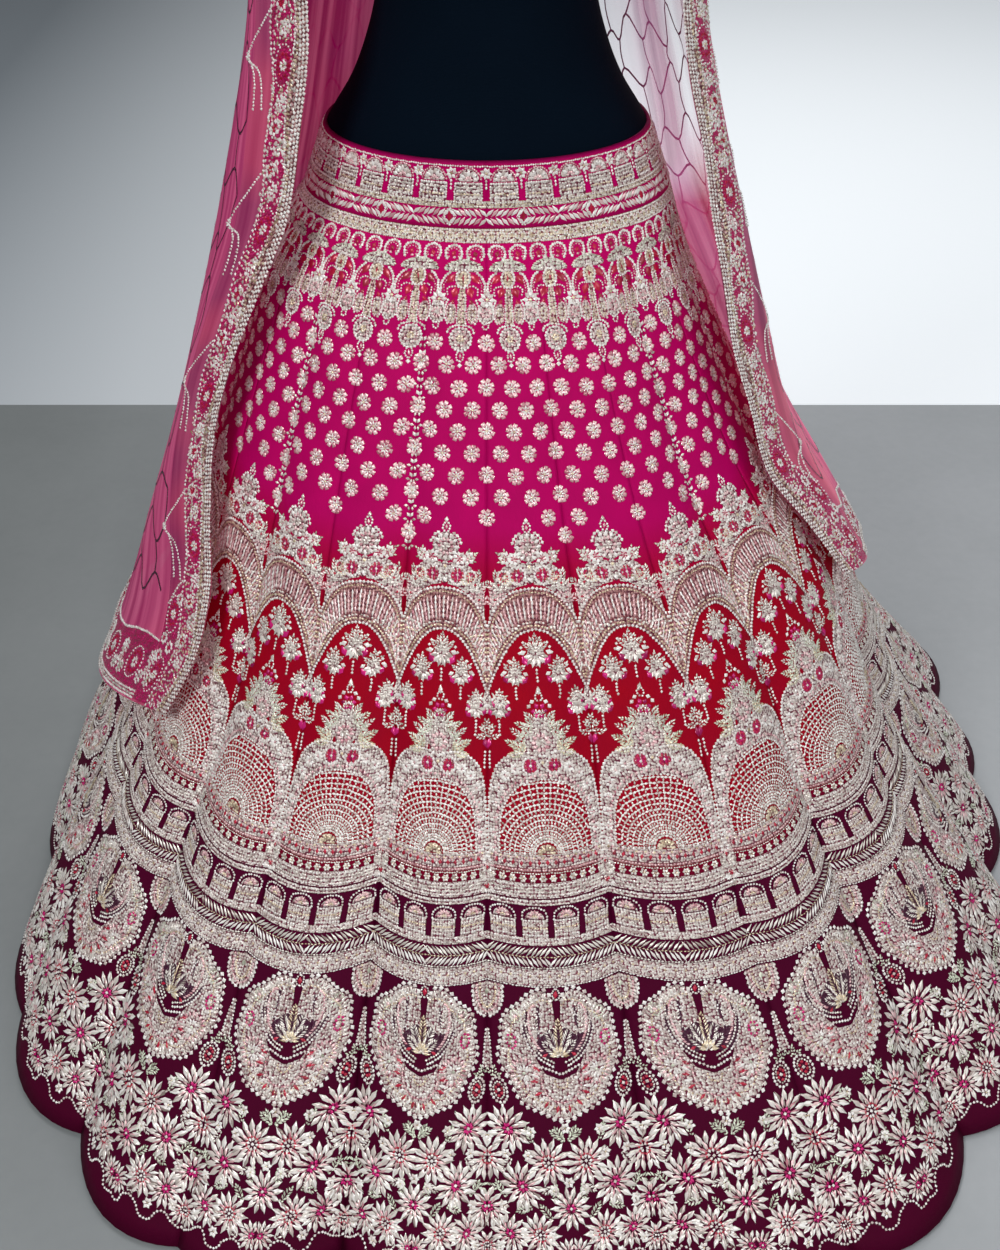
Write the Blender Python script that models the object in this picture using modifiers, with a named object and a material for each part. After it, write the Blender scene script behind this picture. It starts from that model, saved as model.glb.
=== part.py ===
"""A lehenga choli with its dupatta, on a limbless dress form.

Metres, +Z up. The origin is on the floor under the form's base, the front faces -Y and +X is
the right of a person looking at it. Cloth is built as thin walls. Each wall follows a surface
of two numbers: an angle, 0 at the front and growing towards +X, and a height.
"""

import math

import bmesh
import bpy
import numpy as np

# Driving sizes
CLOTH = 0.002  # wall of the embroidered skirt panels
NET_WALL = 0.001  # wall of the dupatta's net
SEAM_GAP = 0.0004  # between two pieces that are sewn together
NET_GAP = 0.0007  # between the dupatta's pieces, whose walls lean together in its folds

# Lehenga
KALIS = 24  # panels round the skirt
WAIST_TOP = 0.9215
WAIST_SEAM = 0.857
WAIST_GAP = 0.0009  # the band's slanting lower edge comes closer than this
BAND_WALL = 0.003
HEM_HEIGHT = 0.006
RIGHT_FULLNESS = 0.135  # how far the hem swells between its front and its sides
LEFT_FULLNESS = 0.125
SKIRT_SECTIONS = {
    # height: half width right, half width left, front, back, depth of the folds
    0.857: (0.186, 0.186, 0.127, 0.150, 0.0005),
    0.800: (0.206, 0.228, 0.165, 0.171, 0.004),
    0.720: (0.243, 0.264, 0.215, 0.203, 0.006),
    0.600: (0.308, 0.312, 0.285, 0.258, 0.010),
    0.500: (0.378, 0.348, 0.350, 0.310, 0.013),
    0.400: (0.436, 0.387, 0.418, 0.364, 0.017),
    0.300: (0.486, 0.443, 0.491, 0.420, 0.022),
    0.200: (0.550, 0.502, 0.568, 0.480, 0.028),
    0.100: (0.624, 0.558, 0.656, 0.545, 0.036),
    0.000: (0.702, 0.604, 0.757, 0.610, 0.046),
}
BAND_SECTIONS = {
    # height: half width right, half width left, front, back
    0.857: (0.1865, 0.1865, 0.1275, 0.1505),
    0.889: (0.1745, 0.1745, 0.1262, 0.1452),
    0.9215: (0.1620, 0.1620, 0.1240, 0.1400),
}
# How deep the fold at each seam is, as a share of the sections' fold depth, from the front
# seam round by the right side, the back and the left side.
SEAM_FOLDS = (
    0.70, 0.95, 0.45, 1.40, 0.60, 1.35, 0.70, 1.05, 0.55, 1.25, 0.70, 1.00,
    0.60, 1.30, 0.70, 1.00, 0.55, 1.25, 0.60, 1.10, 0.60, 1.25, 0.70, 1.35,
)
FOLD_SHARPNESS = 2.2  # how closely a fold keeps to its seam
KALI_COLUMNS = (0.0, 0.15, 0.34, 0.5, 0.66, 0.85, 1.0)  # shares of a panel's width
KALI_ROWS = 11

# Dress form
FORM_COLUMNS = 2 * KALIS
FORM_SECTIONS = {
    # height: half width right, half width left, front, back
    0.700: (0.142, 0.142, 0.088, 0.108),
    0.740: (0.166, 0.166, 0.106, 0.128),
    0.790: (0.178, 0.178, 0.117, 0.141),
    0.857: (0.1825, 0.1825, 0.1238, 0.1466),
    0.889: (0.1707, 0.1707, 0.1226, 0.1416),
    0.9215: (0.1583, 0.1583, 0.1204, 0.1364),
    0.960: (0.134, 0.134, 0.109, 0.121),
    1.000: (0.1165, 0.1165, 0.098, 0.107),
    1.050: (0.1040, 0.1040, 0.089, 0.096),
    1.100: (0.1080, 0.1080, 0.090, 0.095),
    1.145: (0.1195, 0.1195, 0.098, 0.098),
    1.180: (0.1320, 0.1320, 0.106, 0.101),
    1.213: (0.1425, 0.1425, 0.113, 0.104),
    1.250: (0.1520, 0.1520, 0.116, 0.107),
    1.300: (0.1610, 0.1610, 0.104, 0.109),
    1.345: (0.1670, 0.1670, 0.087, 0.106),
    1.380: (0.1630, 0.1630, 0.072, 0.097),
    1.402: (0.1400, 0.1400, 0.061, 0.083),
    1.422: (0.1020, 0.1020, 0.053, 0.069),
    1.440: (0.0680, 0.0680, 0.050, 0.059),
    1.500: (0.0560, 0.0560, 0.053, 0.055),
}
BUST = {"angle": 0.50, "height": 1.213, "rise": 0.016, "spread": 0.40, "tall": 0.054}
POLE_RADIUS = 0.0125
POLE_SIDES = 24
BASE_RADIUS = 0.190
BASE_RIM = 0.008
BASE_CROWN = 0.020
BASE_SLOPE = (0.6, 0.75)  # where the base turns down: shares of its radius and of its crown
BASE_STEPS = 48

# Choli
CHOLI_CLEAR = 0.0040  # from the form to the inside of the cloth
CHOLI_WALL = 0.0015
CHOLI_COLUMNS = (0.0, 0.17, 0.34, 0.50, 0.66, 0.82, 0.96, 1.0)  # shares of the way out to the seam
CHOLI_SEAM = 0.0006  # the seams lie on ridges, where the walls lean together inside
CHOLI_HEM_SIDE = 1.056
FRONT_HEM_ARCH = 0.062
BACK_HEM_ARCH = 0.020
HEM_CURVE = 1.5  # higher numbers keep a hem's arch closer to the middle
ARMHOLE = {"height": 1.325, "tall": 0.058, "wide": math.radians(32)}
ARMHOLE_ROWS = 9
SHOULDER_ROWS = 3
BODY_ROWS = 5
SHOULDER_TOP = 1.427
FRONT_NECK = 1.285
BACK_NECK = 1.350
NECK_ANGLE = math.radians(64)
NECK_CURVE = 0.6  # below 1 the neck is rounder at its lowest point

# Dupatta, a long sheet over both shoulders that hangs behind the body
DRAPE_SECTIONS = {
    # height: half width right, half width left, front, back
    1.402: (0.1531, 0.1536, 0.0740, 0.0940),
    1.380: (0.1757, 0.1762, 0.0850, 0.1080),
    1.340: (0.1840, 0.1840, 0.1030, 0.1250),
    1.270: (0.1880, 0.1910, 0.1420, 0.1340),
    1.200: (0.1920, 0.2000, 0.1500, 0.1390),
    1.100: (0.1970, 0.2130, 0.1480, 0.1460),
    1.000: (0.2140, 0.2300, 0.1480, 0.1560),
    0.920: (0.2350, 0.2500, 0.1560, 0.1680),
    0.840: (0.2590, 0.2720, 0.1750, 0.1850),
    0.720: (0.2950, 0.3080, 0.2430, 0.2280),
    0.600: (0.3360, 0.3470, 0.3110, 0.2830),
    0.500: (0.3960, 0.3840, 0.3750, 0.3370),
    0.400: (0.4560, 0.4200, 0.4450, 0.3930),
    0.300: (0.5120, 0.4640, 0.5200, 0.4500),
    0.200: (0.5730, 0.5200, 0.6000, 0.5120),
}
DRAPE_WAVES = 15
DRAPE_WAVE_TOP = 0.001
DRAPE_WAVE_LOW = 0.011
DRAPE_DRIFTS = 3  # how often round the body the folds crowd together
DRAPE_DRIFT = 2.0  # and by how much, as an angle of the wave
FRONT_EDGES = {
    # share of the way down: left edge angle, right edge angle, in degrees from the front
    0.00: (-64.0, 66.0),
    0.15: (-54.0, 65.0),
    0.33: (-45.0, 62.5),
    0.44: (-43.8, 60.5),
    0.53: (-45.0, 61.8),
    0.60: (-52.0, 60.0),
    0.66: (-56.8, 59.2),
    0.72: (-58.0, 58.2),
    0.80: (-53.8, 61.0),
    0.87: (-48.5, 60.8),
    0.93: (-48.5, 66.0),
    1.00: (-53.5, 70.0),
}
BORDER_WIDTH = 0.085
DRAPE_TOP_FRONT = 1.378
DRAPE_TOP_SHOULDER = 1.392
DRAPE_TOP_BACK = 1.352
DRAPE_LOW_LEFT = 0.250
DRAPE_LOW_RIGHT = 0.400
DRAPE_LOW_BACK = 0.270
DRAPE_LOW_FRONT_RISE = 0.180  # the front corners hang higher than the sides
DRAPE_BACK_CURVE = 1.5
NET_ROWS = 14
NET_ROW_SPREAD = 1.4  # above 1 the rows crowd towards the shoulders
NET_COLUMNS = 13
HEM_ROWS = 3
BORDER_COLUMNS = 4
NET_STRETCHES = ("right", "back", "left")


def section_values(sections, heights):
    """Each column of a table of sections, read smoothly at these heights."""
    table = np.array([(z, *row) for z, row in sorted(sections.items())])
    zs = table[:, 0]
    values = table[:, 1:]
    slopes = np.gradient(values, zs, axis=0)
    z = np.clip(np.asarray(heights, float), zs[0], zs[-1])
    k = np.clip(np.searchsorted(zs, z) - 1, 0, len(zs) - 2)
    step = (zs[k + 1] - zs[k])[..., None]
    s = (z - zs[k])[..., None] / step
    start = (2 * s**3 - 3 * s**2 + 1) * values[k] + (s**3 - 2 * s**2 + s) * step * slopes[k]
    end = (3 * s**2 - 2 * s**3) * values[k + 1] + (s**3 - s**2) * step * slopes[k + 1]
    return np.moveaxis(start + end, -1, 0)


def ring_points(half_right, half_left, front, back, angle, height):
    """Points of an egg-shaped ring, with its own reach to each of the four sides."""
    side = np.where(np.sin(angle) > 0, half_right, half_left) * np.sin(angle)
    depth = np.where(np.cos(angle) > 0, front, back) * -np.cos(angle)
    return np.stack(np.broadcast_arrays(side, depth, height), -1)


def plain_surface(sections):
    """A surface through the sections of one table."""

    def surface(angle, height):
        values = section_values(sections, height)[:4]
        return ring_points(*values, angle, height)

    return surface


def seam_depth(angle):
    """How far the cloth has sunk towards the seams beside it, 0 on a panel's crown."""
    place = (angle / (2 * math.pi) * KALIS) % KALIS
    before = np.floor(place).astype(int)
    along = place - before
    folds = np.array(SEAM_FOLDS)
    return (
        folds[before % KALIS] * (1 - along) ** FOLD_SHARPNESS
        + folds[(before + 1) % KALIS] * along**FOLD_SHARPNESS
    )


def skirt_surface(angle, height):
    """The outside of the skirt: a flared ring that sinks into a fold at each seam."""
    right, left, front, back, fold = section_values(SKIRT_SECTIONS, height)
    fullness = np.where(np.sin(angle) > 0, RIGHT_FULLNESS, LEFT_FULLNESS)
    swell = 1 + fullness * np.sin(2 * angle) ** 2 * (1 - height / WAIST_SEAM) ** 2
    ring = ring_points(right * swell, left * swell, front * swell, back * swell, angle, height)
    reach = np.hypot(ring[..., 0], ring[..., 1])
    share = 1 - fold * seam_depth(angle) / reach
    return np.stack([ring[..., 0] * share, ring[..., 1] * share, ring[..., 2]], -1)


def form_surface(angle, height):
    """The form's body, with a bust of general shape."""
    ring = plain_surface(FORM_SECTIONS)(angle, height)
    turned = (angle + math.pi) % (2 * math.pi) - math.pi
    sideways = (np.abs(turned) - BUST["angle"]) / BUST["spread"]
    upward = (height - BUST["height"]) / BUST["tall"]
    rise = BUST["rise"] * np.exp(-(sideways**2) - upward**2)
    return ring + np.stack([0 * rise, -rise, 0 * rise], -1)


def moved_out(surface, angle, height, distance):
    """Points at a distance from a surface, square to it."""
    step = 1e-3
    point = surface(angle, height)
    across = surface(angle + step, height) - point
    along = surface(angle, height + step) - surface(angle, height - step)
    normal = np.cross(across, along)
    normal /= np.linalg.norm(normal, axis=-1, keepdims=True)
    return point + normal * np.asarray(distance)[..., None]


def material(name, colour, roughness, metallic=0.0, alpha=1.0):
    made = bpy.data.materials.new(name)
    made.use_nodes = True
    shader = made.node_tree.nodes["Principled BSDF"]
    shader.inputs["Base Color"].default_value = (*colour, 1)
    shader.inputs["Roughness"].default_value = roughness
    shader.inputs["Metallic"].default_value = metallic
    shader.inputs["Alpha"].default_value = alpha
    return made


def new_object(name, mesh, collection, finish):
    made = bpy.data.objects.new(name, mesh)
    made.data.materials.append(finish)
    collection.objects.link(made)
    return made


def thickened(made, thickness):
    """Gives an open surface its wall, towards the inside of the garment."""
    wall = made.modifiers.new("wall", "SOLIDIFY")
    wall.thickness = thickness
    wall.offset = -1
    wall.use_even_offset = False
    return made


def grid_mesh(name, blocks, closed=False):
    """A smooth mesh of quads from blocks of points, rows running down and columns to +X."""
    net = bmesh.new()
    for points in blocks:
        rows, columns = points.shape[:2]
        verts = [[net.verts.new(p) for p in row] for row in points]
        last = columns if closed else columns - 1
        for i in range(rows - 1):
            for j in range(last):
                k = (j + 1) % columns
                upper, lower = verts[i], verts[i + 1]
                net.faces.new((upper[j], lower[j], lower[k], upper[k]))
    bmesh.ops.remove_doubles(net, verts=net.verts, dist=1e-6)
    mesh = bpy.data.meshes.new(name)
    net.to_mesh(mesh)
    net.free()
    mesh.shade_smooth()
    return mesh


def drawn_in(points, gap):
    """Moves the first and last columns inwards, so that a neighbour's edge is this far off."""
    for column, inward in ((0, 1), (-1, -1)):
        sideways = points[:, column + inward] - points[:, column]
        sideways /= np.linalg.norm(sideways, axis=1, keepdims=True)
        points[:, column] += sideways * gap / 2
    return points


def make_kalis(collection, finish):
    heights = np.linspace(WAIST_SEAM - WAIST_GAP, HEM_HEIGHT, KALI_ROWS)
    across = np.array(KALI_COLUMNS)
    for k in range(KALIS):
        angle, height = np.meshgrid((k + across) * 2 * math.pi / KALIS, heights)
        points = drawn_in(skirt_surface(angle, height), SEAM_GAP)
        name = f"kali_{k + 1:02d}"
        made = new_object(name, grid_mesh(name, [points]), collection, finish)
        thickened(made, CLOTH)


def make_waistband(collection, finish):
    around = np.arange(FORM_COLUMNS) * 2 * math.pi / FORM_COLUMNS
    angle, height = np.meshgrid(around, sorted(BAND_SECTIONS, reverse=True))
    points = plain_surface(BAND_SECTIONS)(angle, height)
    name = "lehenga_waistband"
    made = new_object(name, grid_mesh(name, [points], closed=True), collection, finish)
    thickened(made, BAND_WALL)


def make_form(collection, jersey, metal):
    around = np.arange(FORM_COLUMNS) * 2 * math.pi / FORM_COLUMNS
    angle, height = np.meshgrid(around, sorted(FORM_SECTIONS, reverse=True))
    mesh = grid_mesh("form_torso", [form_surface(angle, height)], closed=True)
    net = bmesh.new()
    net.from_mesh(mesh)
    bmesh.ops.holes_fill(net, edges=net.edges, sides=0)
    bmesh.ops.recalc_face_normals(net, faces=net.faces)
    net.to_mesh(mesh)
    net.free()
    new_object("form_torso", mesh, collection, jersey)

    bottom = BASE_CROWN + SEAM_GAP
    top = min(FORM_SECTIONS) - SEAM_GAP
    bpy.ops.mesh.primitive_cylinder_add(
        vertices=POLE_SIDES,
        radius=POLE_RADIUS,
        depth=top - bottom,
        location=(0, 0, (top + bottom) / 2),
    )
    pole = bpy.context.object
    pole.name = "form_pole"
    pole.data.shade_smooth()
    pole.data.materials.append(metal)
    move_to(pole, collection)

    turn_down = (BASE_RADIUS * BASE_SLOPE[0], BASE_CROWN * BASE_SLOPE[1])
    crown = [(0, BASE_CROWN), (POLE_RADIUS * 2, BASE_CROWN), turn_down]
    profile = [*crown, (BASE_RADIUS, BASE_RIM), (BASE_RADIUS, 0), (0, 0)]
    mesh = bpy.data.meshes.new("form_base")
    edges = [(i, i + 1) for i in range(len(profile) - 1)]
    mesh.from_pydata([(r, 0, z) for r, z in profile], edges, [])
    base = new_object("form_base", mesh, collection, metal)
    turn = base.modifiers.new("turn", "SCREW")
    turn.steps = BASE_STEPS
    turn.render_steps = BASE_STEPS
    turn.use_merge_vertices = True
    turn.merge_threshold = 0.0001


def move_to(made, collection):
    for other in list(made.users_collection):
        other.objects.unlink(made)
    collection.objects.link(made)


def choli_half(side, facing, hem_arch, neck_height):
    """One half of a choli panel, as a block of points from the shoulder down to the hem.

    side is 1 for the right half and -1 for the left, facing is 0 for the front, pi for the back.
    """
    turns = np.linspace(-math.pi / 2, math.pi / 2, ARMHOLE_ROWS)
    armhole = ARMHOLE["height"] + ARMHOLE["tall"] * np.sin(turns)
    shoulder = np.linspace(armhole[-1], SHOULDER_TOP, SHOULDER_ROWS + 1)[1:]
    yoke = np.concatenate([shoulder[::-1], armhole[::-1]])
    outer = math.pi / 2 - ARMHOLE["wide"] * np.concatenate([0 * shoulder, np.cos(turns)])
    rise = np.clip((yoke - neck_height) / (SHOULDER_TOP - neck_height), 0, 1)
    inner = NECK_ANGLE * rise**NECK_CURVE
    share = np.array(CHOLI_COLUMNS)
    seam = CHOLI_SEAM / 2 / section_values(FORM_SECTIONS, yoke)[2 if facing == 0 else 3]
    yoke_angle = inner[:, None] + (outer - seam - inner)[:, None] * share
    yoke_height = np.repeat(yoke[:, None], len(share), 1)
    low_angle = yoke_angle[-1]
    arch = hem_arch * np.cos(low_angle) ** HEM_CURVE
    drop = np.linspace(0, 1, BODY_ROWS + 1)[1:, None]
    body_height = yoke[-1] + (CHOLI_HEM_SIDE + arch - yoke[-1]) * drop
    body_angle = np.repeat(low_angle[None], len(drop), 0)
    angle = np.concatenate([yoke_angle, body_angle])
    height = np.concatenate([yoke_height, body_height])
    clear = np.full(angle.shape, CHOLI_CLEAR + CHOLI_WALL)
    turned = facing + side * angle * (1 if facing == 0 else -1)
    points = moved_out(form_surface, turned, height, clear)
    if side < 0:
        points = points[:, ::-1]
    return points if facing == 0 else points[:, ::-1]


def make_choli(collection, finish):
    for name, facing, arch, neck in (
        ("choli_front", 0, FRONT_HEM_ARCH, FRONT_NECK),
        ("choli_back", math.pi, BACK_HEM_ARCH, BACK_NECK),
    ):
        halves = [choli_half(side, facing, arch, neck) for side in (-1, 1)]
        made = new_object(name, grid_mesh(name, halves), collection, finish)
        thickened(made, CHOLI_WALL)


def drape_edges(down):
    """Angles of the dupatta's two front edges at a share of the way down."""
    left, right = section_values(FRONT_EDGES, down)
    return np.radians(left), np.radians(right)


def drape_top(angle):
    """Height of the dupatta's upper edge: on the shoulders, lower across the back."""
    back = np.clip(-np.cos(angle), 0, 1)
    front = np.clip(np.cos(angle), 0, 1)
    return (
        DRAPE_TOP_SHOULDER
        + (DRAPE_TOP_BACK - DRAPE_TOP_SHOULDER) * back**DRAPE_BACK_CURVE
        + (DRAPE_TOP_FRONT - DRAPE_TOP_SHOULDER) * front
    )


def drape_low(angle):
    """Height of the dupatta's lower edge."""
    side = 0.5 + 0.5 * np.sin(angle)
    low = DRAPE_LOW_LEFT + (DRAPE_LOW_RIGHT - DRAPE_LOW_LEFT) * side
    back = np.clip(-np.cos(angle), 0, 1)
    front = np.clip(np.cos(angle), 0, 1)
    return low + (DRAPE_LOW_BACK - low) * back + DRAPE_LOW_FRONT_RISE * front


def drape_surface(angle, height):
    """The dupatta's outside, a flared curtain with soft upright folds."""
    plain = plain_surface(DRAPE_SECTIONS)(angle, height)
    down = np.clip((DRAPE_TOP_SHOULDER - height) / DRAPE_TOP_SHOULDER, 0, 1)
    deep = DRAPE_WAVE_TOP + (DRAPE_WAVE_LOW - DRAPE_WAVE_TOP) * down
    drift = DRAPE_DRIFT * np.sin(DRAPE_DRIFTS * angle)
    wave = deep * (0.5 + 0.5 * np.cos(DRAPE_WAVES * angle + drift))
    reach = np.hypot(plain[..., 0], plain[..., 1])
    share = 1 + wave / reach
    return np.stack([plain[..., 0] * share, plain[..., 1] * share, plain[..., 2]], -1)


def drape_height(angle, down):
    return drape_top(angle) + (drape_low(angle) - drape_top(angle)) * down


def border_turn(angle, down):
    """The angle that the width of a front border takes up."""
    height = drape_height(angle, down)
    surface = plain_surface(DRAPE_SECTIONS)
    step = 1e-3
    speed = np.linalg.norm(surface(angle + step, height) - surface(angle, height), axis=-1)
    return BORDER_WIDTH * step / speed


def drape_piece(name, limits, across, down, collection, finish):
    """One piece of the dupatta, seen from outside. limits gives its two side angles for each
    row, and across and down run from 0 to 1."""
    first, last = limits
    angle = first[:, None] + (last - first)[:, None] * across
    height = drape_height(angle, down[:, None])
    points = drawn_in(drape_surface(angle, height), NET_GAP)
    made = new_object(name, grid_mesh(name, [points]), collection, finish)
    return thickened(made, NET_WALL)


def make_dupatta(collection, net, border):
    low_border = BORDER_WIDTH / (DRAPE_TOP_SHOULDER - DRAPE_LOW_BACK)
    low_gap = NET_GAP / (DRAPE_TOP_SHOULDER - DRAPE_LOW_BACK)
    net_rows = np.linspace(0, 1, NET_ROWS) ** NET_ROW_SPREAD * (1 - low_border - low_gap)
    hem_rows = np.linspace(1 - low_border, 1, HEM_ROWS)
    for name, rows, finish in (("net", net_rows, net), ("hem", hem_rows, border)):
        left, right = drape_edges(rows)
        left_inner = left - border_turn(left, rows)
        right_inner = right + border_turn(right, rows) - 2 * math.pi
        for k, stretch in enumerate(NET_STRETCHES):
            limits = [
                right_inner + (left_inner - right_inner) * (k + end) / len(NET_STRETCHES)
                for end in (0, 1)
            ]
            across = np.linspace(0, 1, NET_COLUMNS)
            drape_piece(f"dupatta_{name}_{stretch}", limits, across, rows, collection, finish)
    rows = np.append(net_rows, hem_rows[1:])
    left, right = drape_edges(rows)
    across = np.linspace(0, 1, BORDER_COLUMNS)
    sides = (
        ("left", (left - border_turn(left, rows), left)),
        ("right", (right, right + border_turn(right, rows))),
    )
    for side, limits in sides:
        drape_piece(f"dupatta_border_{side}", limits, across, rows, collection, border)


def main():
    for old in list(bpy.data.objects):
        bpy.data.objects.remove(old)
    collection = bpy.data.collections.new("lehenga_choli")
    bpy.context.scene.collection.children.link(collection)
    magenta = material("embroidered_magenta", (0.42, 0.004, 0.13), 0.55)
    choli = material("choli_cloth", (0.40, 0.004, 0.12), 0.55)
    net = material("sheer_net", (0.55, 0.02, 0.25), 0.6, alpha=0.45)
    border = material("net_border", (0.62, 0.38, 0.36), 0.45, 0.3)
    jersey = material("form_jersey", (0.006, 0.010, 0.018), 0.85)
    metal = material("form_metal", (0.35, 0.35, 0.36), 0.35, 0.9)
    make_form(collection, jersey, metal)
    make_waistband(collection, magenta)
    make_kalis(collection, magenta)
    make_choli(collection, choli)
    make_dupatta(collection, net, border)


main()
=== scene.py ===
"""Looks of the embroidered lehenga choli and its dupatta, on the dress form.

Metres, +Z up, the front faces -Y. Embroidery is drawn on flat charts in millimetres, x to the
right and s down, and laid on the cloth. A stone is a low pyramid, and a patch is a field of
beads too fine to model one by one.
"""

import math

import bmesh
import bpy
import numpy as np
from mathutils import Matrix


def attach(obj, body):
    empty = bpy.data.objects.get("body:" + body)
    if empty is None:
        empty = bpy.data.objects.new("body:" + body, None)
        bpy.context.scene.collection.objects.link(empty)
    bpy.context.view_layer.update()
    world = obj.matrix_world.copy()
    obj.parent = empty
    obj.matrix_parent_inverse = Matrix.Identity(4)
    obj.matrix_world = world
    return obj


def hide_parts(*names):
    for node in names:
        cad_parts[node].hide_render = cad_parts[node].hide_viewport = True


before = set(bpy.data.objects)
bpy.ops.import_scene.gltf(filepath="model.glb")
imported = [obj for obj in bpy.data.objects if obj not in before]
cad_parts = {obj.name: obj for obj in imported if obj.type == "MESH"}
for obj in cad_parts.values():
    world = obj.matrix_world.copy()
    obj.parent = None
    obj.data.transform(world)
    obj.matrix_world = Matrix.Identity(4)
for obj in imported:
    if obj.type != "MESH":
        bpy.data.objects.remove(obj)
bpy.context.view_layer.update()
random = np.random.default_rng(7)

# The garment's surfaces, as in the part
PI = math.pi
TURN = 2 * PI
UPRIGHT = PI / 2  # the turn of a stone that lies along s
KALIS = 24
WAIST_TOP = 0.9215
WAIST_SEAM = 0.857
HEM_HEIGHT = 0.006
RIGHT_FULLNESS = 0.135
LEFT_FULLNESS = 0.125
SKIRT_SECTIONS = {
    # height: half width right, half width left, front, back, depth of the folds
    0.857: (0.186, 0.186, 0.127, 0.150, 0.0005),
    0.800: (0.206, 0.228, 0.165, 0.171, 0.004),
    0.720: (0.243, 0.264, 0.215, 0.203, 0.006),
    0.600: (0.308, 0.312, 0.285, 0.258, 0.010),
    0.500: (0.378, 0.348, 0.350, 0.310, 0.013),
    0.400: (0.436, 0.387, 0.418, 0.364, 0.017),
    0.300: (0.486, 0.443, 0.491, 0.420, 0.022),
    0.200: (0.550, 0.502, 0.568, 0.480, 0.028),
    0.100: (0.624, 0.558, 0.656, 0.545, 0.036),
    0.000: (0.702, 0.604, 0.757, 0.610, 0.046),
}
BAND_SECTIONS = {
    0.857: (0.1865, 0.1865, 0.1275, 0.1505),
    0.889: (0.1745, 0.1745, 0.1262, 0.1452),
    0.9215: (0.1620, 0.1620, 0.1240, 0.1400),
}
SEAM_FOLDS = (
    0.70, 0.95, 0.45, 1.40, 0.60, 1.35, 0.70, 1.05, 0.55, 1.25, 0.70, 1.00,
    0.60, 1.30, 0.70, 1.00, 0.55, 1.25, 0.60, 1.10, 0.60, 1.25, 0.70, 1.35,
)
FOLD_SHARPNESS = 2.2
ROPE_FOLD = 1.2  # folds deeper than this carry a rope of beads
FORM_SECTIONS = {
    0.700: (0.142, 0.142, 0.088, 0.108),
    0.740: (0.166, 0.166, 0.106, 0.128),
    0.790: (0.178, 0.178, 0.117, 0.141),
    0.857: (0.1825, 0.1825, 0.1238, 0.1466),
    0.889: (0.1707, 0.1707, 0.1226, 0.1416),
    0.9215: (0.1583, 0.1583, 0.1204, 0.1364),
    0.960: (0.134, 0.134, 0.109, 0.121),
    1.000: (0.1165, 0.1165, 0.098, 0.107),
    1.050: (0.1040, 0.1040, 0.089, 0.096),
    1.100: (0.1080, 0.1080, 0.090, 0.095),
    1.145: (0.1195, 0.1195, 0.098, 0.098),
    1.180: (0.1320, 0.1320, 0.106, 0.101),
    1.213: (0.1425, 0.1425, 0.113, 0.104),
    1.250: (0.1520, 0.1520, 0.116, 0.107),
    1.300: (0.1610, 0.1610, 0.104, 0.109),
    1.345: (0.1670, 0.1670, 0.087, 0.106),
    1.380: (0.1630, 0.1630, 0.072, 0.097),
    1.402: (0.1400, 0.1400, 0.061, 0.083),
    1.422: (0.1020, 0.1020, 0.053, 0.069),
    1.440: (0.0680, 0.0680, 0.050, 0.059),
    1.500: (0.0560, 0.0560, 0.053, 0.055),
}
BUST = {"angle": 0.50, "height": 1.213, "rise": 0.016, "spread": 0.40, "tall": 0.054}
CHOLI_CLEAR = 0.0040
CHOLI_WALL = 0.0015
CHOLI_HEM_SIDE = 1.056
CHOLI_HELD = 1.264  # the hem's arch fades out up to here
CHOLI_ROUND = 150.0  # millimetres of its chart for a radian
CHOLI_CHART_TOP = 1.43
FRONT_HEM_ARCH = 0.062
BACK_HEM_ARCH = 0.020
HEM_CURVE = 1.5
ARMHOLE = {"height": 1.325, "tall": 0.058, "wide": math.radians(32), "seam": 0.003}
SHOULDER_TOP = 1.427
FRONT_NECK = 1.285
BACK_NECK = 1.350
NECK_ANGLE = math.radians(64)
NECK_CURVE = 0.6
DRAPE_SECTIONS = {
    1.402: (0.1531, 0.1536, 0.0740, 0.0940),
    1.380: (0.1757, 0.1762, 0.0850, 0.1080),
    1.340: (0.1840, 0.1840, 0.1030, 0.1250),
    1.270: (0.1880, 0.1910, 0.1420, 0.1340),
    1.200: (0.1920, 0.2000, 0.1500, 0.1390),
    1.100: (0.1970, 0.2130, 0.1480, 0.1460),
    1.000: (0.2140, 0.2300, 0.1480, 0.1560),
    0.920: (0.2350, 0.2500, 0.1560, 0.1680),
    0.840: (0.2590, 0.2720, 0.1750, 0.1850),
    0.720: (0.2950, 0.3080, 0.2430, 0.2280),
    0.600: (0.3360, 0.3470, 0.3110, 0.2830),
    0.500: (0.3960, 0.3840, 0.3750, 0.3370),
    0.400: (0.4560, 0.4200, 0.4450, 0.3930),
    0.300: (0.5120, 0.4640, 0.5200, 0.4500),
    0.200: (0.5730, 0.5200, 0.6000, 0.5120),
}
DRAPE_WAVES = 15
DRAPE_WAVE_TOP = 0.001
DRAPE_WAVE_LOW = 0.011
DRAPE_DRIFTS = 3
DRAPE_DRIFT = 2.0
FRONT_EDGES = {
    # share of the way down: left edge angle, right edge angle, in degrees from the front
    0.00: (-64.0, 66.0),
    0.15: (-54.0, 65.0),
    0.33: (-45.0, 62.5),
    0.44: (-43.8, 60.5),
    0.53: (-45.0, 61.8),
    0.60: (-52.0, 60.0),
    0.66: (-56.8, 59.2),
    0.72: (-58.0, 58.2),
    0.80: (-53.8, 61.0),
    0.87: (-48.5, 60.8),
    0.93: (-48.5, 66.0),
    1.00: (-53.5, 70.0),
}
BORDER_WIDTH = 0.085
DRAPE_TOP_FRONT = 1.378
DRAPE_TOP_SHOULDER = 1.392
DRAPE_TOP_BACK = 1.352
DRAPE_LOW_LEFT = 0.250
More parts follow.
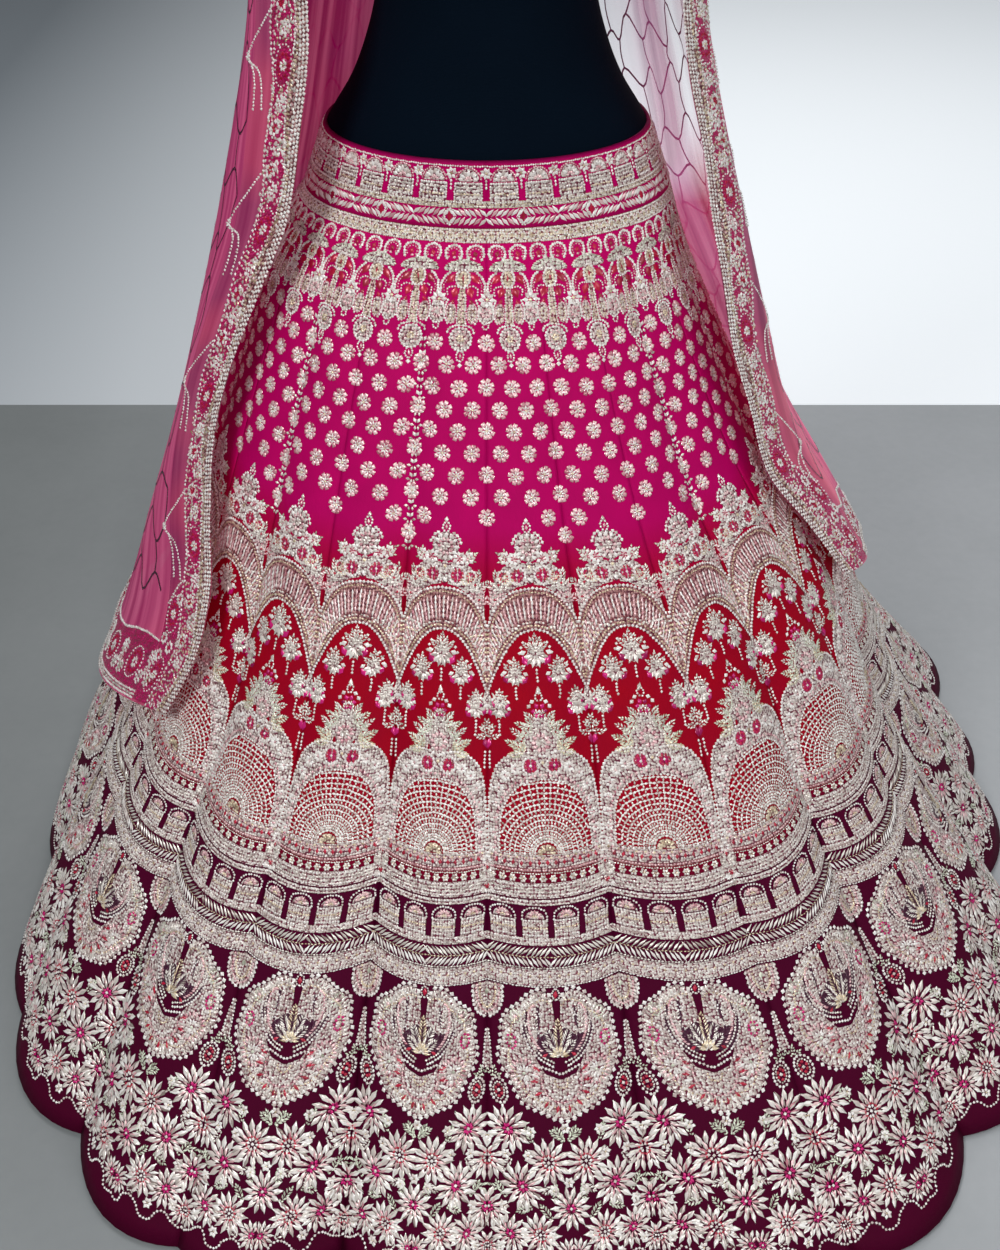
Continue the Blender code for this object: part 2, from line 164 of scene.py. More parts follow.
DRAPE_LOW_RIGHT = 0.400
DRAPE_LOW_BACK = 0.270
DRAPE_LOW_FRONT_RISE = 0.180
DRAPE_BACK_CURVE = 1.5
DRAPE_WIDTH = 1900.0  # of its charts, in millimetres
DRAPE_LENGTH = 1120.0
LACE_ROOM = 84  # kept free of the net's dark lines above the lower edge
HEM_TOP = 1040
HEM_BOTTOM = 1118
BORDER_CHART = 85.0
BORDER_REPEAT = 168.0
BORDER_SLIM_RUN = 420  # a slim border is at its full width from here down
WEB_PITCH = 37.0  # the net's dark lines: cells from side to side, and down
WEB_DROP = 56.0
WEB_RISE = 13.0
WEB_JITTER = 14
WEB_LINE = 3.3
THRIFT = 0.88  # share of the stones of a full line that are sewn on, each so much longer

# Walls of the visible cloth
SKIRT_WALL = 0.0018
BAND_WALL = 0.003

# The waistband's charts, in millimetres
BAND_CHARTS = 32
BAND_CHART = 34.0
BAND_TALL = 64.5

# A panel's chart, in millimetres
LENGTH = 1090.0
HALF_TOP = 26.0
HALF_HEM = 95.0
CHARTS_ROUND = 22  # charts whose widths go round the cloth; on more panels they are narrower
GROUPS = 30  # groups of the top border round the skirt
DOT_ROWS = (113.5, 135, 158, 180, 201.5, 223.5, 246, 268, 290, 311)
CROWN_LEVELS = (276, 282, 290, 311)  # a dot gives way to the crown in the panel's middle,
CROWN_REACH = (-1, 8, 17, 33)  # when it is nearer than this

# How the stones and the patches sit on the cloth
STONE_BASE = 0.00025
PATCH_LIFT = 0.00045
STONE_DRIFT = 0.22  # how unevenly they are sewn on, in millimetres and radians
STONE_TWIST = 0.07
STONE_TILT = 0.45  # how far a stone's tip is from its middle, of half its size

# Finishes of the stones and of the fine beadwork, by number
SILVER, GOLD, PINK, RUBY, MINT, PEARL, MAGENTA = range(7)
STONES = {
    # name: dark colour, light colour, metallic, roughness; the random spread between the two colours is
    # painted glint and painted dark reflection, and partly the stones' own tones
    "silver_stones": ((0.30, 0.22, 0.19), (1.0, 0.94, 0.86), 0.30, 0.25),
    "gold_stones": ((0.36, 0.24, 0.13), (1.0, 0.84, 0.60), 0.40, 0.26),
    "pink_stones": ((0.46, 0.14, 0.18), (1.0, 0.68, 0.68), 0.25, 0.26),
    "ruby_stones": ((0.26, 0.000, 0.020), (0.54, 0.000, 0.038), 0.10, 0.30),
    "mint_stones": ((0.27, 0.27, 0.19), (0.84, 0.88, 0.72), 0.20, 0.28),
    "pearl_stones": ((0.58, 0.46, 0.42), (1.0, 0.97, 0.93), 0.05, 0.22),
    "magenta_stones": ((0.26, 0.00, 0.06), (0.70, 0.01, 0.20), 0.15, 0.22),
}
PATCH = len(STONES)
BEADWORKS = {
    # name: colour between the beads (the cloth, darkened as a painted shadow), dark bead, light bead;
    # the beads' random spread from dark to light is partly painted glint
    "silver_beadwork": ((0.150, 0.006, 0.034), (0.46, 0.34, 0.31), (1.0, 0.93, 0.86)),
    "gold_beadwork": ((0.160, 0.010, 0.030), (0.50, 0.38, 0.26), (1.0, 0.90, 0.72)),
    "pink_beadwork": ((0.100, 0.002, 0.020), (0.24, 0.05, 0.06), (0.60, 0.32, 0.30)),
    "maroon_cloth": ((0.05, 0.0, 0.02), (0.06, 0.0, 0.024), (0.07, 0.0, 0.03)),
    "ruby_cloth": ((0.46, 0.0, 0.08), (0.54, 0.0, 0.12), (0.62, 0.0, 0.15)),
}
SILVER_PATCH, GOLD_PATCH, PINK_PATCH, DARK_PATCH, RUBY_PATCH = range(PATCH, PATCH + 5)


# The studio, and the photo's camera
DAYLIGHT = (0.86, 0.90, 0.95, 1)
DAYLIGHT_STRENGTH = 0.26
WALL_FOOT = 1.05
FLOOR = (-9, -7, 9, 16)
FLOOR_CLEAR = 0.0005
LIGHTS = (
    # name, place, turn in degrees, size, power
    ("key_light", (-1.6, -2.2, 3.2), (42, 0, -34), 1.0, 50),
    ("fill_light", (2.4, -1.6, 2.4), (50, 0, 55), 1.6, 20),
    ("top_light", (0.0, 0.6, 3.6), (-8, 0, 0), 2.0, 26),
    ("back_light", (0.6, 3.0, 2.6), (-55, 0, 10), 1.6, 30),
    ("spark_light", (0.5, -3.4, 2.2), (62, 0, 8), 0.3, 26),
)
CAMERA_PLACE = (0.013, -1.472, 1.426)
CAMERA_TILT = 52  # degrees up from straight down
CAMERA_LENS = 42.4
CAMERA_SENSOR = 36  # along the picture's height


def section_values(sections, heights):
    """Each column of a table of sections, read smoothly at these heights."""
    table = np.array([(z, *row) for z, row in sorted(sections.items())])
    zs = table[:, 0]
    values = table[:, 1:]
    slopes = np.gradient(values, zs, axis=0)
    z = np.clip(np.asarray(heights, float), zs[0], zs[-1])
    k = np.clip(np.searchsorted(zs, z) - 1, 0, len(zs) - 2)
    step = (zs[k + 1] - zs[k])[..., None]
    s = (z - zs[k])[..., None] / step
    start = (2 * s**3 - 3 * s**2 + 1) * values[k] + (s**3 - 2 * s**2 + s) * step * slopes[k]
    end = (3 * s**2 - 2 * s**3) * values[k + 1] + (s**3 - s**2) * step * slopes[k + 1]
    return np.moveaxis(start + end, -1, 0)


def ring_points(half_right, half_left, front, back, angle, height):
    side = np.where(np.sin(angle) > 0, half_right, half_left) * np.sin(angle)
    depth = np.where(np.cos(angle) > 0, front, back) * -np.cos(angle)
    return np.stack(np.broadcast_arrays(side, depth, height), -1)


def plain_surface(sections):
    def surface(angle, height):
        return ring_points(*section_values(sections, height)[:4], angle, height)

    return surface


def seam_depth(angle):
    place = (angle / TURN * KALIS) % KALIS
    before = np.floor(place).astype(int)
    along = place - before
    folds = np.array(SEAM_FOLDS)
    return (
        folds[before % KALIS] * (1 - along) ** FOLD_SHARPNESS
        + folds[(before + 1) % KALIS] * along**FOLD_SHARPNESS
    )


def drawn_to_axis(ring, share):
    return np.stack([ring[..., 0] * share, ring[..., 1] * share, ring[..., 2]], -1)


def skirt_surface(angle, height):
    """The outside of the skirt: a flared ring that sinks into a fold at each seam."""
    right, left, front, back, fold = section_values(SKIRT_SECTIONS, height)
    fullness = np.where(np.sin(angle) > 0, RIGHT_FULLNESS, LEFT_FULLNESS)
    swell = 1 + fullness * np.sin(2 * angle) ** 2 * (1 - height / WAIST_SEAM) ** 2
    ring = ring_points(right * swell, left * swell, front * swell, back * swell, angle, height)
    reach = np.hypot(ring[..., 0], ring[..., 1])
    return drawn_to_axis(ring, 1 - fold * seam_depth(angle) / reach)


def form_surface(angle, height):
    ring = plain_surface(FORM_SECTIONS)(angle, height)
    turned = (angle + PI) % TURN - PI
    sideways = (np.abs(turned) - BUST["angle"]) / BUST["spread"]
    upward = (height - BUST["height"]) / BUST["tall"]
    rise = BUST["rise"] * np.exp(-(sideways**2) - upward**2)
    return ring + np.stack([0 * rise, -rise, 0 * rise], -1)


def moved_out(surface, angle, height, distance):
    """Points at a distance from a surface, square to it."""
    step = 1e-3
    point = surface(angle, height)
    across = surface(angle + step, height) - point
    along = surface(angle, height + step) - surface(angle, height - step)
    return point + unit(np.cross(across, along)) * np.asarray(distance)[..., None]


def drape_edges(down):
    left, right = section_values(FRONT_EDGES, down)
    return np.radians(left), np.radians(right)


def drape_top(angle):
    back = np.clip(-np.cos(angle), 0, 1)
    front = np.clip(np.cos(angle), 0, 1)
    return (
        DRAPE_TOP_SHOULDER
        + (DRAPE_TOP_BACK - DRAPE_TOP_SHOULDER) * back**DRAPE_BACK_CURVE
        + (DRAPE_TOP_FRONT - DRAPE_TOP_SHOULDER) * front
    )


def drape_low(angle):
    side = 0.5 + 0.5 * np.sin(angle)
    low = DRAPE_LOW_LEFT + (DRAPE_LOW_RIGHT - DRAPE_LOW_LEFT) * side
    back = np.clip(-np.cos(angle), 0, 1)
    front = np.clip(np.cos(angle), 0, 1)
    return low + (DRAPE_LOW_BACK - low) * back + DRAPE_LOW_FRONT_RISE * front


def drape_surface(angle, height):
    plain = plain_surface(DRAPE_SECTIONS)(angle, height)
    down = np.clip((DRAPE_TOP_SHOULDER - height) / DRAPE_TOP_SHOULDER, 0, 1)
    deep = DRAPE_WAVE_TOP + (DRAPE_WAVE_LOW - DRAPE_WAVE_TOP) * down
    drift = DRAPE_DRIFT * np.sin(DRAPE_DRIFTS * angle)
    wave = deep * (0.5 + 0.5 * np.cos(DRAPE_WAVES * angle + drift))
    reach = np.hypot(plain[..., 0], plain[..., 1])
    return drawn_to_axis(plain, 1 + wave / reach)


def drape_height(angle, down):
    return drape_top(angle) + (drape_low(angle) - drape_top(angle)) * down


def border_turn(angle, down):
    """The angle that the width of a front border takes up."""
    height = drape_height(angle, down)
    surface = plain_surface(DRAPE_SECTIONS)
    step = 1e-3
    speed = np.linalg.norm(surface(angle + step, height) - surface(angle, height), axis=-1)
    return BORDER_WIDTH * step / speed


def unit(vectors):
    return vectors / np.maximum(np.linalg.norm(vectors, axis=-1, keepdims=True), 1e-9)


def height_table():
    """Heights along the skirt for equal steps of the cloth's own length, by angle."""
    angles = np.linspace(0, TURN, KALIS * 6 + 1)
    heights = np.linspace(WAIST_SEAM, HEM_HEIGHT, 160)
    angle, height = np.meshgrid(angles, heights, indexing="ij")
    steps = np.linalg.norm(np.diff(skirt_surface(angle, height), axis=1), axis=-1)
    run = np.concatenate([np.zeros((len(angles), 1)), np.cumsum(steps, axis=1)], axis=1)
    shares = np.linspace(0, 1, 200)
    return np.array([np.interp(shares, row / row[-1], heights) for row in run])


HEIGHTS = height_table()


def skirt_height(angle, share):
    rows, columns = HEIGHTS.shape
    i = (angle / TURN) % 1 * (rows - 1)
    j = np.clip(share, 0, 1) * (columns - 1)
    i0 = np.floor(i).astype(int)
    j0 = np.minimum(np.floor(j).astype(int), columns - 2)
    i1 = (i0 + 1) % rows
    a, b = i - i0, j - j0
    upper = HEIGHTS[i0, j0] * (1 - b) + HEIGHTS[i0, j0 + 1] * b
    lower = HEIGHTS[i1, j0] * (1 - b) + HEIGHTS[i1, j0 + 1] * b
    return upper * (1 - a) + lower * a


def half(s):
    """Half the width of a panel's chart."""
    return HALF_TOP + (HALF_HEM - HALF_TOP) * np.asarray(s, float) / LENGTH


def kali_place(k):
    def place(x, s):
        angle = (k + 0.5 + x / (2 * half(s))) * TURN / KALIS
        return skirt_surface(angle, skirt_height(angle, s / LENGTH))

    return place


class Chart:
    """A drawing in millimetres, of stones and of patches of fine beads."""

    def __init__(self):
        self.stones = []
        self.patches = []

    def put(self, x, s, long, wide, turn=0.0, tone=SILVER, high=None):
        """Stones at these places; each value is one for all of them, or one for each."""
        if high is None:
            high = 0.42 * np.minimum(np.asarray(wide, float), 3.4) + 0.5
        columns = np.broadcast_arrays(x, s, long, wide, high, turn, tone)
        self.stones.append(np.stack([np.ravel(c).astype(float) for c in columns], 1))

    def along(self, points, pitch, size, tone=SILVER, lean=None, aside=0.0, long=None):
        """Stones along a line, lying with it unless they lean."""
        points = np.asarray(points, float)
        steps = np.hypot(*np.diff(points, axis=0).T)
        run = np.concatenate([[0], np.cumsum(steps)])
        count = max(int(round(run[-1] / pitch * THRIFT)), 1)
        at = (np.arange(count) + 0.5) * run[-1] / count
        x = np.interp(at, run, points[:, 0])
        s = np.interp(at, run, points[:, 1])
        k = np.clip(np.searchsorted(run, at) - 1, 0, len(steps) - 1)
        way = points[k + 1] - points[k]
        turn = np.arctan2(way[:, 1], way[:, 0])
        x = x - np.sin(turn) * aside
        s = s + np.cos(turn) * aside
        if lean is not None:
            turn = turn + lean
        self.put(x, s, (long or size) / THRIFT, size, turn, tone)

    def ring(self, x, s, rx, rs, size, tone=SILVER, pitch=None, start=0.0, sweep=TURN):
        """Stones along an oval or a part of one."""
        turns = start + sweep * np.linspace(0, 1, 49)
        points = np.stack([x + rx * np.cos(turns), s + rs * np.sin(turns)], 1)
        self.along(points, pitch or size * 1.08, size, tone)

    def rays(self, x, s, near, far, count, wide, tone=SILVER, start=0.0, sweep=TURN):
        """Stones that point away from (x, s)."""
        ends = count if abs(sweep - TURN) < 1e-6 else count - 1
        turns = start + sweep * np.arange(count) / max(ends, 1)
        middle = (near + far) / 2
        self.put(
            x + middle * np.cos(turns), s + middle * np.sin(turns), far - near, wide, turns, tone
        )

    def leaf(self, x, s, turn, long, wide, tone=SILVER):
        """A pointed leaf that grows from (x, s), of stitches that lean on a midrib."""
        pairs = max(int(long / 3.4), 2)
        at = (np.arange(pairs) + 0.6) / (pairs + 0.6) * long
        reach = wide / 2 * np.sin(np.pi * np.clip(at / long, 0.12, 0.9)) ** 0.7
        for side in (-1, 1):
            px = at + reach * 0.25
            py = side * reach * 0.52
            self.put(
                x + px * math.cos(turn) - py * math.sin(turn),
                s + px * math.sin(turn) + py * math.cos(turn),
                np.maximum(reach * 1.35, 2.2), 2.1, turn + side * 0.65, tone,
            )
        tip = long * 0.97
        self.put(x + tip * math.cos(turn), s + tip * math.sin(turn), 4.0, 2.0, turn, tone)

    def sprig(self, x, s, turn, long, tone=SILVER):
        for lean in (-0.85, 0.0, 0.85):
            self.leaf(x, s, turn + lean, long * (1 if lean == 0 else 0.8), long * 0.42, tone)

    def rosette(self, x, s, r):
        """A ring of pearls round rubies on red cloth, and one pearl."""
        self.disc(x, s, r * 0.72, r * 0.72, RUBY_PATCH, 10)
        self.ring(x, s, r * 0.86, r * 0.86, 3.4, PEARL, pitch=3.2)
        self.ring(x, s, r * 0.50, r * 0.50, r * 0.32, RUBY)
        self.put(x, s, r * 0.36, r * 0.36, 0.0, PEARL, 2.0)

    def dot(self, x, s, r):
        """The small eight-petal flower of the upper field."""
        turns = 0.3 + TURN * np.arange(8) / 8
        self.put(x + 0.76 * r * np.cos(turns), s + 0.76 * r * np.sin(turns), r * 0.64, r * 0.64,
                 turns + PI / 4, PINK)
        self.rays(x, s, r * 0.10, r * 0.66, 8, r * 0.24, PEARL, start=0.7)
        self.put(x, s, r * 0.34, r * 0.34, 0.0, GOLD, 2.2)

    def dahlia(self, x, s, r, ruby_heart=False):
        """A flower of two rounds of pointed petals."""
        for count, near, far, start in ((14, 0.46, 1.02, 0.0), (11, 0.22, 0.68, 0.2)):
            for side in (-1, 1):
                turns = start + TURN * np.arange(count) / count
                turns = turns + side * 0.30 / count * PI * 0.62
                middle = (near + far) / 2 * r
                self.put(
                    x + middle * np.cos(turns), s + middle * np.sin(turns),
                    (far - near) * r, TURN * middle / count * 0.52,
                    turns - side * 0.16, SILVER if side > 0 else PINK if count == 11 else PEARL,
                )
        if ruby_heart:
            self.rays(x, s, r * 0.12, r * 0.30, 8, r * 0.13, PEARL)
            self.ring(x, s, r * 0.30, r * 0.30, r * 0.13, RUBY)
        else:
            self.rays(x, s, r * 0.06, r * 0.27, 7, r * 0.14, MAGENTA)
        self.put(x, s, r * 0.16, r * 0.16, 0.0, PEARL, 2.4)

    def bell(self, x, s, size, tail):
        """A hanging flower: leaves above, a coloured cup and a tail of pearls."""
        self.disc(x, s + size * 0.06, size * 0.30, size * 0.34, SILVER_PATCH, 8)
        for lean in (-2.45, -1.9, -1.57, -1.24, -0.7):
            long = size * (0.62 if abs(lean + 1.57) < 0.1 else 0.5)
            self.leaf(x, s, lean, long, size * 0.22, SILVER)
        self.rays(x, s, size * 0.10, size * 0.46, 6, size * 0.15, SILVER, 0.35, PI - 0.7)
        for side in (-1, 1):
            self.put(x + side * size * 0.36, s + size * 0.22, size * 0.36, size * 0.2,
                     side * -1.0, MAGENTA)
            self.put(x + side * size * 0.42, s - size * 0.02, size * 0.22, size * 0.16,
                     side * 0.4, PEARL)
        pearls = np.arange(tail)
        self.put(x, s + size * 0.52 + pearls * 3.6, 3.2, 3.0, UPRIGHT, PEARL)

    def patch(self, points, tone):
        """A field of fine beads, from a grid of points."""
        self.patches.append((np.asarray(points, float), tone))

    def disc(self, x, s, rx, rs, tone, steps, start=0.0, sweep=TURN):
        turns = start + sweep * np.linspace(0, 1, steps + 1)
        shares = np.array([0.001, 0.5, 1.0])[:, None]
        self.patch(
            np.stack([x + shares * rx * np.cos(turns), s + shares * rs * np.sin(turns)], -1), tone
        )

    def strip(self, first, second, tone, steps=None):
        """A patch between two lines of points."""
        first, second = np.asarray(first, float), np.asarray(second, float)
        if steps:
            first, second = resampled(first, steps), resampled(second, steps)
        self.patch(np.stack([first, (first + second) / 2, second]), tone)

    def line(self, points, width, tone):
        """A thin line of stitches."""
        points = np.asarray(points, float)
        way = np.gradient(points, axis=0)
        way /= np.maximum(np.hypot(*way.T), 1e-6)[:, None]
        aside = np.stack([-way[:, 1], way[:, 0]], 1) * width / 2
        self.patch(np.stack([points - aside, points + aside]), tone)

    def row(self, s, pitch, long, wide, tone=SILVER, turn=0.0):
        """Stones across the whole panel."""
        edge = half(s)
        count = max(int(round(2 * edge / pitch * THRIFT)), 1)
        x = -edge + (np.arange(count) + 0.5) * 2 * edge / count
        self.put(x, s, long / THRIFT, wide, turn, tone)

    def belt(self, low, high, tone):
        """A patch across the whole panel."""
        share = np.linspace(-1, 1, 13)
        lines = [np.stack([share * half(s), 0 * share + s], 1) for s in (low, high)]
        self.strip(*lines, tone)

    def mirrored(self):
        """The same drawing, with its right half also on the left."""
        made = Chart()
        table = self.table()
        table = table[table[:, 0] > -0.6]
        twin = table[table[:, 0] > 0.6].copy()
        twin[:, 0] *= -1
        twin[:, 5] = PI - twin[:, 5]
        made.stones = [table, twin]
        for points, tone in self.patches:
            made.patches.append((points, tone))
            if points[..., 0].min() > -0.01 and points[..., 0].max() > 0.6:
                made.patches.append((points[:, ::-1] * (-1, 1), tone))
        return made

    def table(self):
        """All stones, with x, s, length, width, height, turn and finish."""
        return np.concatenate(self.stones) if self.stones else np.zeros((0, 7))

    def curve(self, points, *how, **more):
        """Stones along a smooth line through a few points."""
        self.along(smooth(points), *how, **more)

    def blossom(self, x, s, r, wide, heart, tone):
        """Eight pearl petals round a coloured heart."""
        self.rays(x, s, r * 0.42, r * 1.02, 8, r * wide, PEARL)
        self.rays(x, s, 0.6, r * 0.5, 6, r * heart, tone)

    def clipped(self):
        """Only the stones that lie on the panel."""
        table = self.table()
        self.stones = [table[np.abs(table[:, 0]) <= half(table[:, 1]) + 0.2]]
        return self

    def add(self, other, x=0.0, s=0.0):
        table = other.table().copy()
        table[:, 0] += x
        table[:, 1] += s
        self.stones.append(table)
        self.patches += [(points + (x, s), tone) for points, tone in other.patches]


def resampled(points, steps):
    run = np.concatenate([[0], np.cumsum(np.hypot(*np.diff(points, axis=0).T))])
    at = np.linspace(0, run[-1], steps + 1)
    return np.stack([np.interp(at, run, points[:, k]) for k in (0, 1)], 1)


def smooth(points, steps=40):
    """A smooth line through a few points."""
    points = np.asarray(points, float)
    padded = np.vstack([2 * points[0] - points[1], points, 2 * points[-1] - points[-2]])
    made = []
    for k in range(1, len(padded) - 2):
        a, b, c, d = padded[k - 1 : k + 3]
        t = np.linspace(0, 1, max(steps // (len(points) - 1), 3), endpoint=False)[:, None]
        made.append(
            0.5 * (2 * b + (c - a) * t + (2 * a - 5 * b + 4 * c - d) * t**2
                   + (3 * b - a - 3 * c + d) * t**3)
        )
    return np.vstack([*made, points[-1:]])


def group_width(s):
    """Width of one group of the top border on the charts."""
    return 2 * half(s) * CHARTS_ROUND / GROUPS


def top_bands(c):
    """One group of the top border, from its middle to the right."""
    edge = group_width(8) / 2
    c.strip([(0, 0.6), (edge, 0.6)], [(0, 14.4), (edge, 14.4)], GOLD_PATCH, 4)
    for s, size in ((1.8, 2.6), (13.4, 2.5)):
        c.put(np.arange(1.2, edge, 2.4), s, size, size, 0, PEARL)
    for x in (edge * 0.25, edge * 0.75):
        c.ring(x, 7.6, 3.5, 3.7, 2.4, PEARL, pitch=2.3)
        c.put(x, 7.6, 3.4, 3.0, 0, GOLD)
    for x in (0.3, edge * 0.5, edge):
        c.put(x, 5.0, 3.0, 2.2, UPRIGHT, PINK)
        c.put(x, 10.2, 3.0, 2.2, UPRIGHT, MINT)
    x = group_width(23) / 4
    shoe = [(-5.6, 31.5), (-7.6, 26), (-6.2, 19.6), (0, 16.8), (6.2, 19.6), (7.6, 26), (5.6, 31.5)]
    shoe = [(x + dx, s) for dx, s in shoe]
    c.curve(shoe, 2.3, 3.3, PEARL)
    inner = [(px * 0.66 + x * 0.34, ps * 0.66 + 25.6 * 0.34) for px, ps in shoe]
    c.curve(inner, 2.4, 1.7, PINK)
    c.put(x, 25.4, 6.4, 4.8, 1.2, RUBY)
    c.put(x - 0.8, 29.4, 3.6, 2.6, 0.3, PINK)
    c.strip([(0, 30), (9, 32), (18, 39)], [(0, 42), (9, 43), (18, 42)], SILVER_PATCH, 6)
    c.leaf(0.8, 32.6, 0.40, 18, 8, MINT)
    c.leaf(1.5, 38, 0.18, 13, 6, SILVER)
    c.leaf(0.8, 34, -0.9, 6, 4, MINT)
    c.disc(0, 49.5, 7.0, 10, GOLD_PATCH, 12)
    c.ring(0, 49.5, 6.2, 8.8, 3.2, PEARL, pitch=2.6)
    c.ring(0, 49.5, 3.2, 5.6, 2.2, GOLD, pitch=2.4)
    c.put(0, 49.5, 7.5, 2.4, UPRIGHT, RUBY)
    c.put(11.4, 50.2, 13, 7.6, 0.89, RUBY)
    c.put(7.2, 63.2, 11.5, 8.0, 1.25, RUBY)
    c.curve([(11.5, 43.6), (16.4, 47.6), (19.8, 54.4), (20.6, 62), (19.4, 69)], 2.4, 3.2, PEARL)
    c.curve([(14.5, 50.6), (17.2, 56.4), (17.4, 63)], 2.4, 1.8, PINK)
    c.curve([(3, 58.6), (9.4, 57.2), (14, 60.4), (13.6, 67)], 2.3, 2.0, PEARL)
    c.strip([(0, 60), (0, 78), (0, 96)], [(2.6, 60), (3.0, 78), (4.0, 96)], GOLD_PATCH, 5)
    c.along([(3.0, 64), (3.2, 80), (4.0, 95)], 2.3, 2.4, PEARL)
    c.put(0, np.arange(63, 94, 3.6), 3.2, 2.0, UPRIGHT, PINK)
    c.disc(9.6, 84, 5.0, 10, SILVER_PATCH, 10)
    c.ring(9.6, 84, 4.6, 9.6, 2.2, PINK, pitch=2.2)
    c.ring(9.6, 85.4, 2.3, 5.8, 2.2, GOLD, pitch=2.5)
    c.put(8.6, 72.6, 6.4, 4.2, 1.1, RUBY)
    c.curve([(12.6, 70), (15.4, 78), (15.6, 87), (12.2, 95)], 2.4, 2.6, PEARL)
    c.curve([(0.8, 95.4), (6, 96.2), (10.6, 99), (12.8, 104)], 2.3, 2.8, PEARL)
    c.disc(0, 109.4, 10.4, 12, SILVER_PATCH, 14)
    c.ring(0, 109.4, 9.8, 11.4, 3.2, PEARL, pitch=3.0)
    c.ring(0, 108.8, 5.8, 7.2, 2.4, PINK, pitch=2.7)
    c.rays(0, 108.8, 0.6, 4.4, 7, 2.4, GOLD)
    c.ring(0, 126, 3.3, 5.4, 2.2, PEARL, pitch=2.2)
    c.put(0, 126, 5.6, 2.4, UPRIGHT, PINK)
    c.put(0, 135, 4.8, 4.8, 0, PEARL)


def border_group():
    """The whole group, with the flowers between it and the next, and the dots below."""
    group = Chart()
    top_bands(group)
    group = group.mirrored()
    x = float(group_width(82)) / 2
    group.disc(x, 83, 8.2, 11, SILVER_PATCH, 12)
    group.rays(x, 70.6, 2.0, 8.8, 8, 4.4, PEARL)
    group.put(x, 70.6, 4, 4, 0, GOLD)
    group.ring(x, 84.6, 7.6, 9.6, 2.6, PEARL, pitch=2.6)
    group.rays(x, 84, 1.6, 6.6, 8, 2.6, PINK)
    group.ring(x, 97, 2.7, 3.0, 2.2, PEARL, pitch=2.2)
    group.put(x, 61.6, 5, 3.4, UPRIGHT, SILVER)
    return group


def panel_place(n, x, s):
    """The panel, and the place on its chart, of a point of the n-th group."""
    at = (n + 0.5 + x / group_width(s)) * KALIS / GROUPS
    panel = np.floor(at.mean() if np.ndim(at) > 1 else at).astype(int)
    return panel % KALIS, (at - panel - 0.5) * 2 * half(s)


def shared_out(group):
    """A drawing for each panel, from the groups all round the skirt and the dots below."""
    shares = [Chart() for _ in range(KALIS)]
    for n in range(GROUPS):
        table = group.table().copy()
        panel, table[:, 0] = panel_place(n, table[:, 0], table[:, 1])
        for k in np.unique(panel):
            shares[k].stones.append(table[panel == k])
        for points, tone in group.patches:
            panel, x = panel_place(n, points[..., 0], points[..., 1])
            shares[panel].patches.append((np.stack([x, points[..., 1]], -1), tone))
        for row, s in enumerate(DOT_ROWS):
            quarter = float(group_width(s)) / 4
            places = (-quarter, quarter) if row % 2 else (0.0, 2 * quarter)
            for x in places[1:] if row == 0 else places:
                panel, x = panel_place(n, x, s)
                if abs(x) > np.interp(s, CROWN_LEVELS, CROWN_REACH):
                    shares[panel].dot(x, s, 8.8)
    return shares


def seam_beads(side):
    """A rope of beads along one edge of a panel, where the fold is deep."""
    c = Chart()
    for s in np.arange(112, 330, 14.0):
        edge = float(half(s))
        c.put(side * (edge - 2.0), s, 5.4, 3.4, side * 1.2, PEARL)
        c.put(side * (edge - 5.0), s + 4.0, 4.6, 3.0, side * 0.3, SILVER)
        c.put(side * (edge - 1.6), s + 7.4, 4.4, 2.6, side * 1.9, SILVER)
    return c


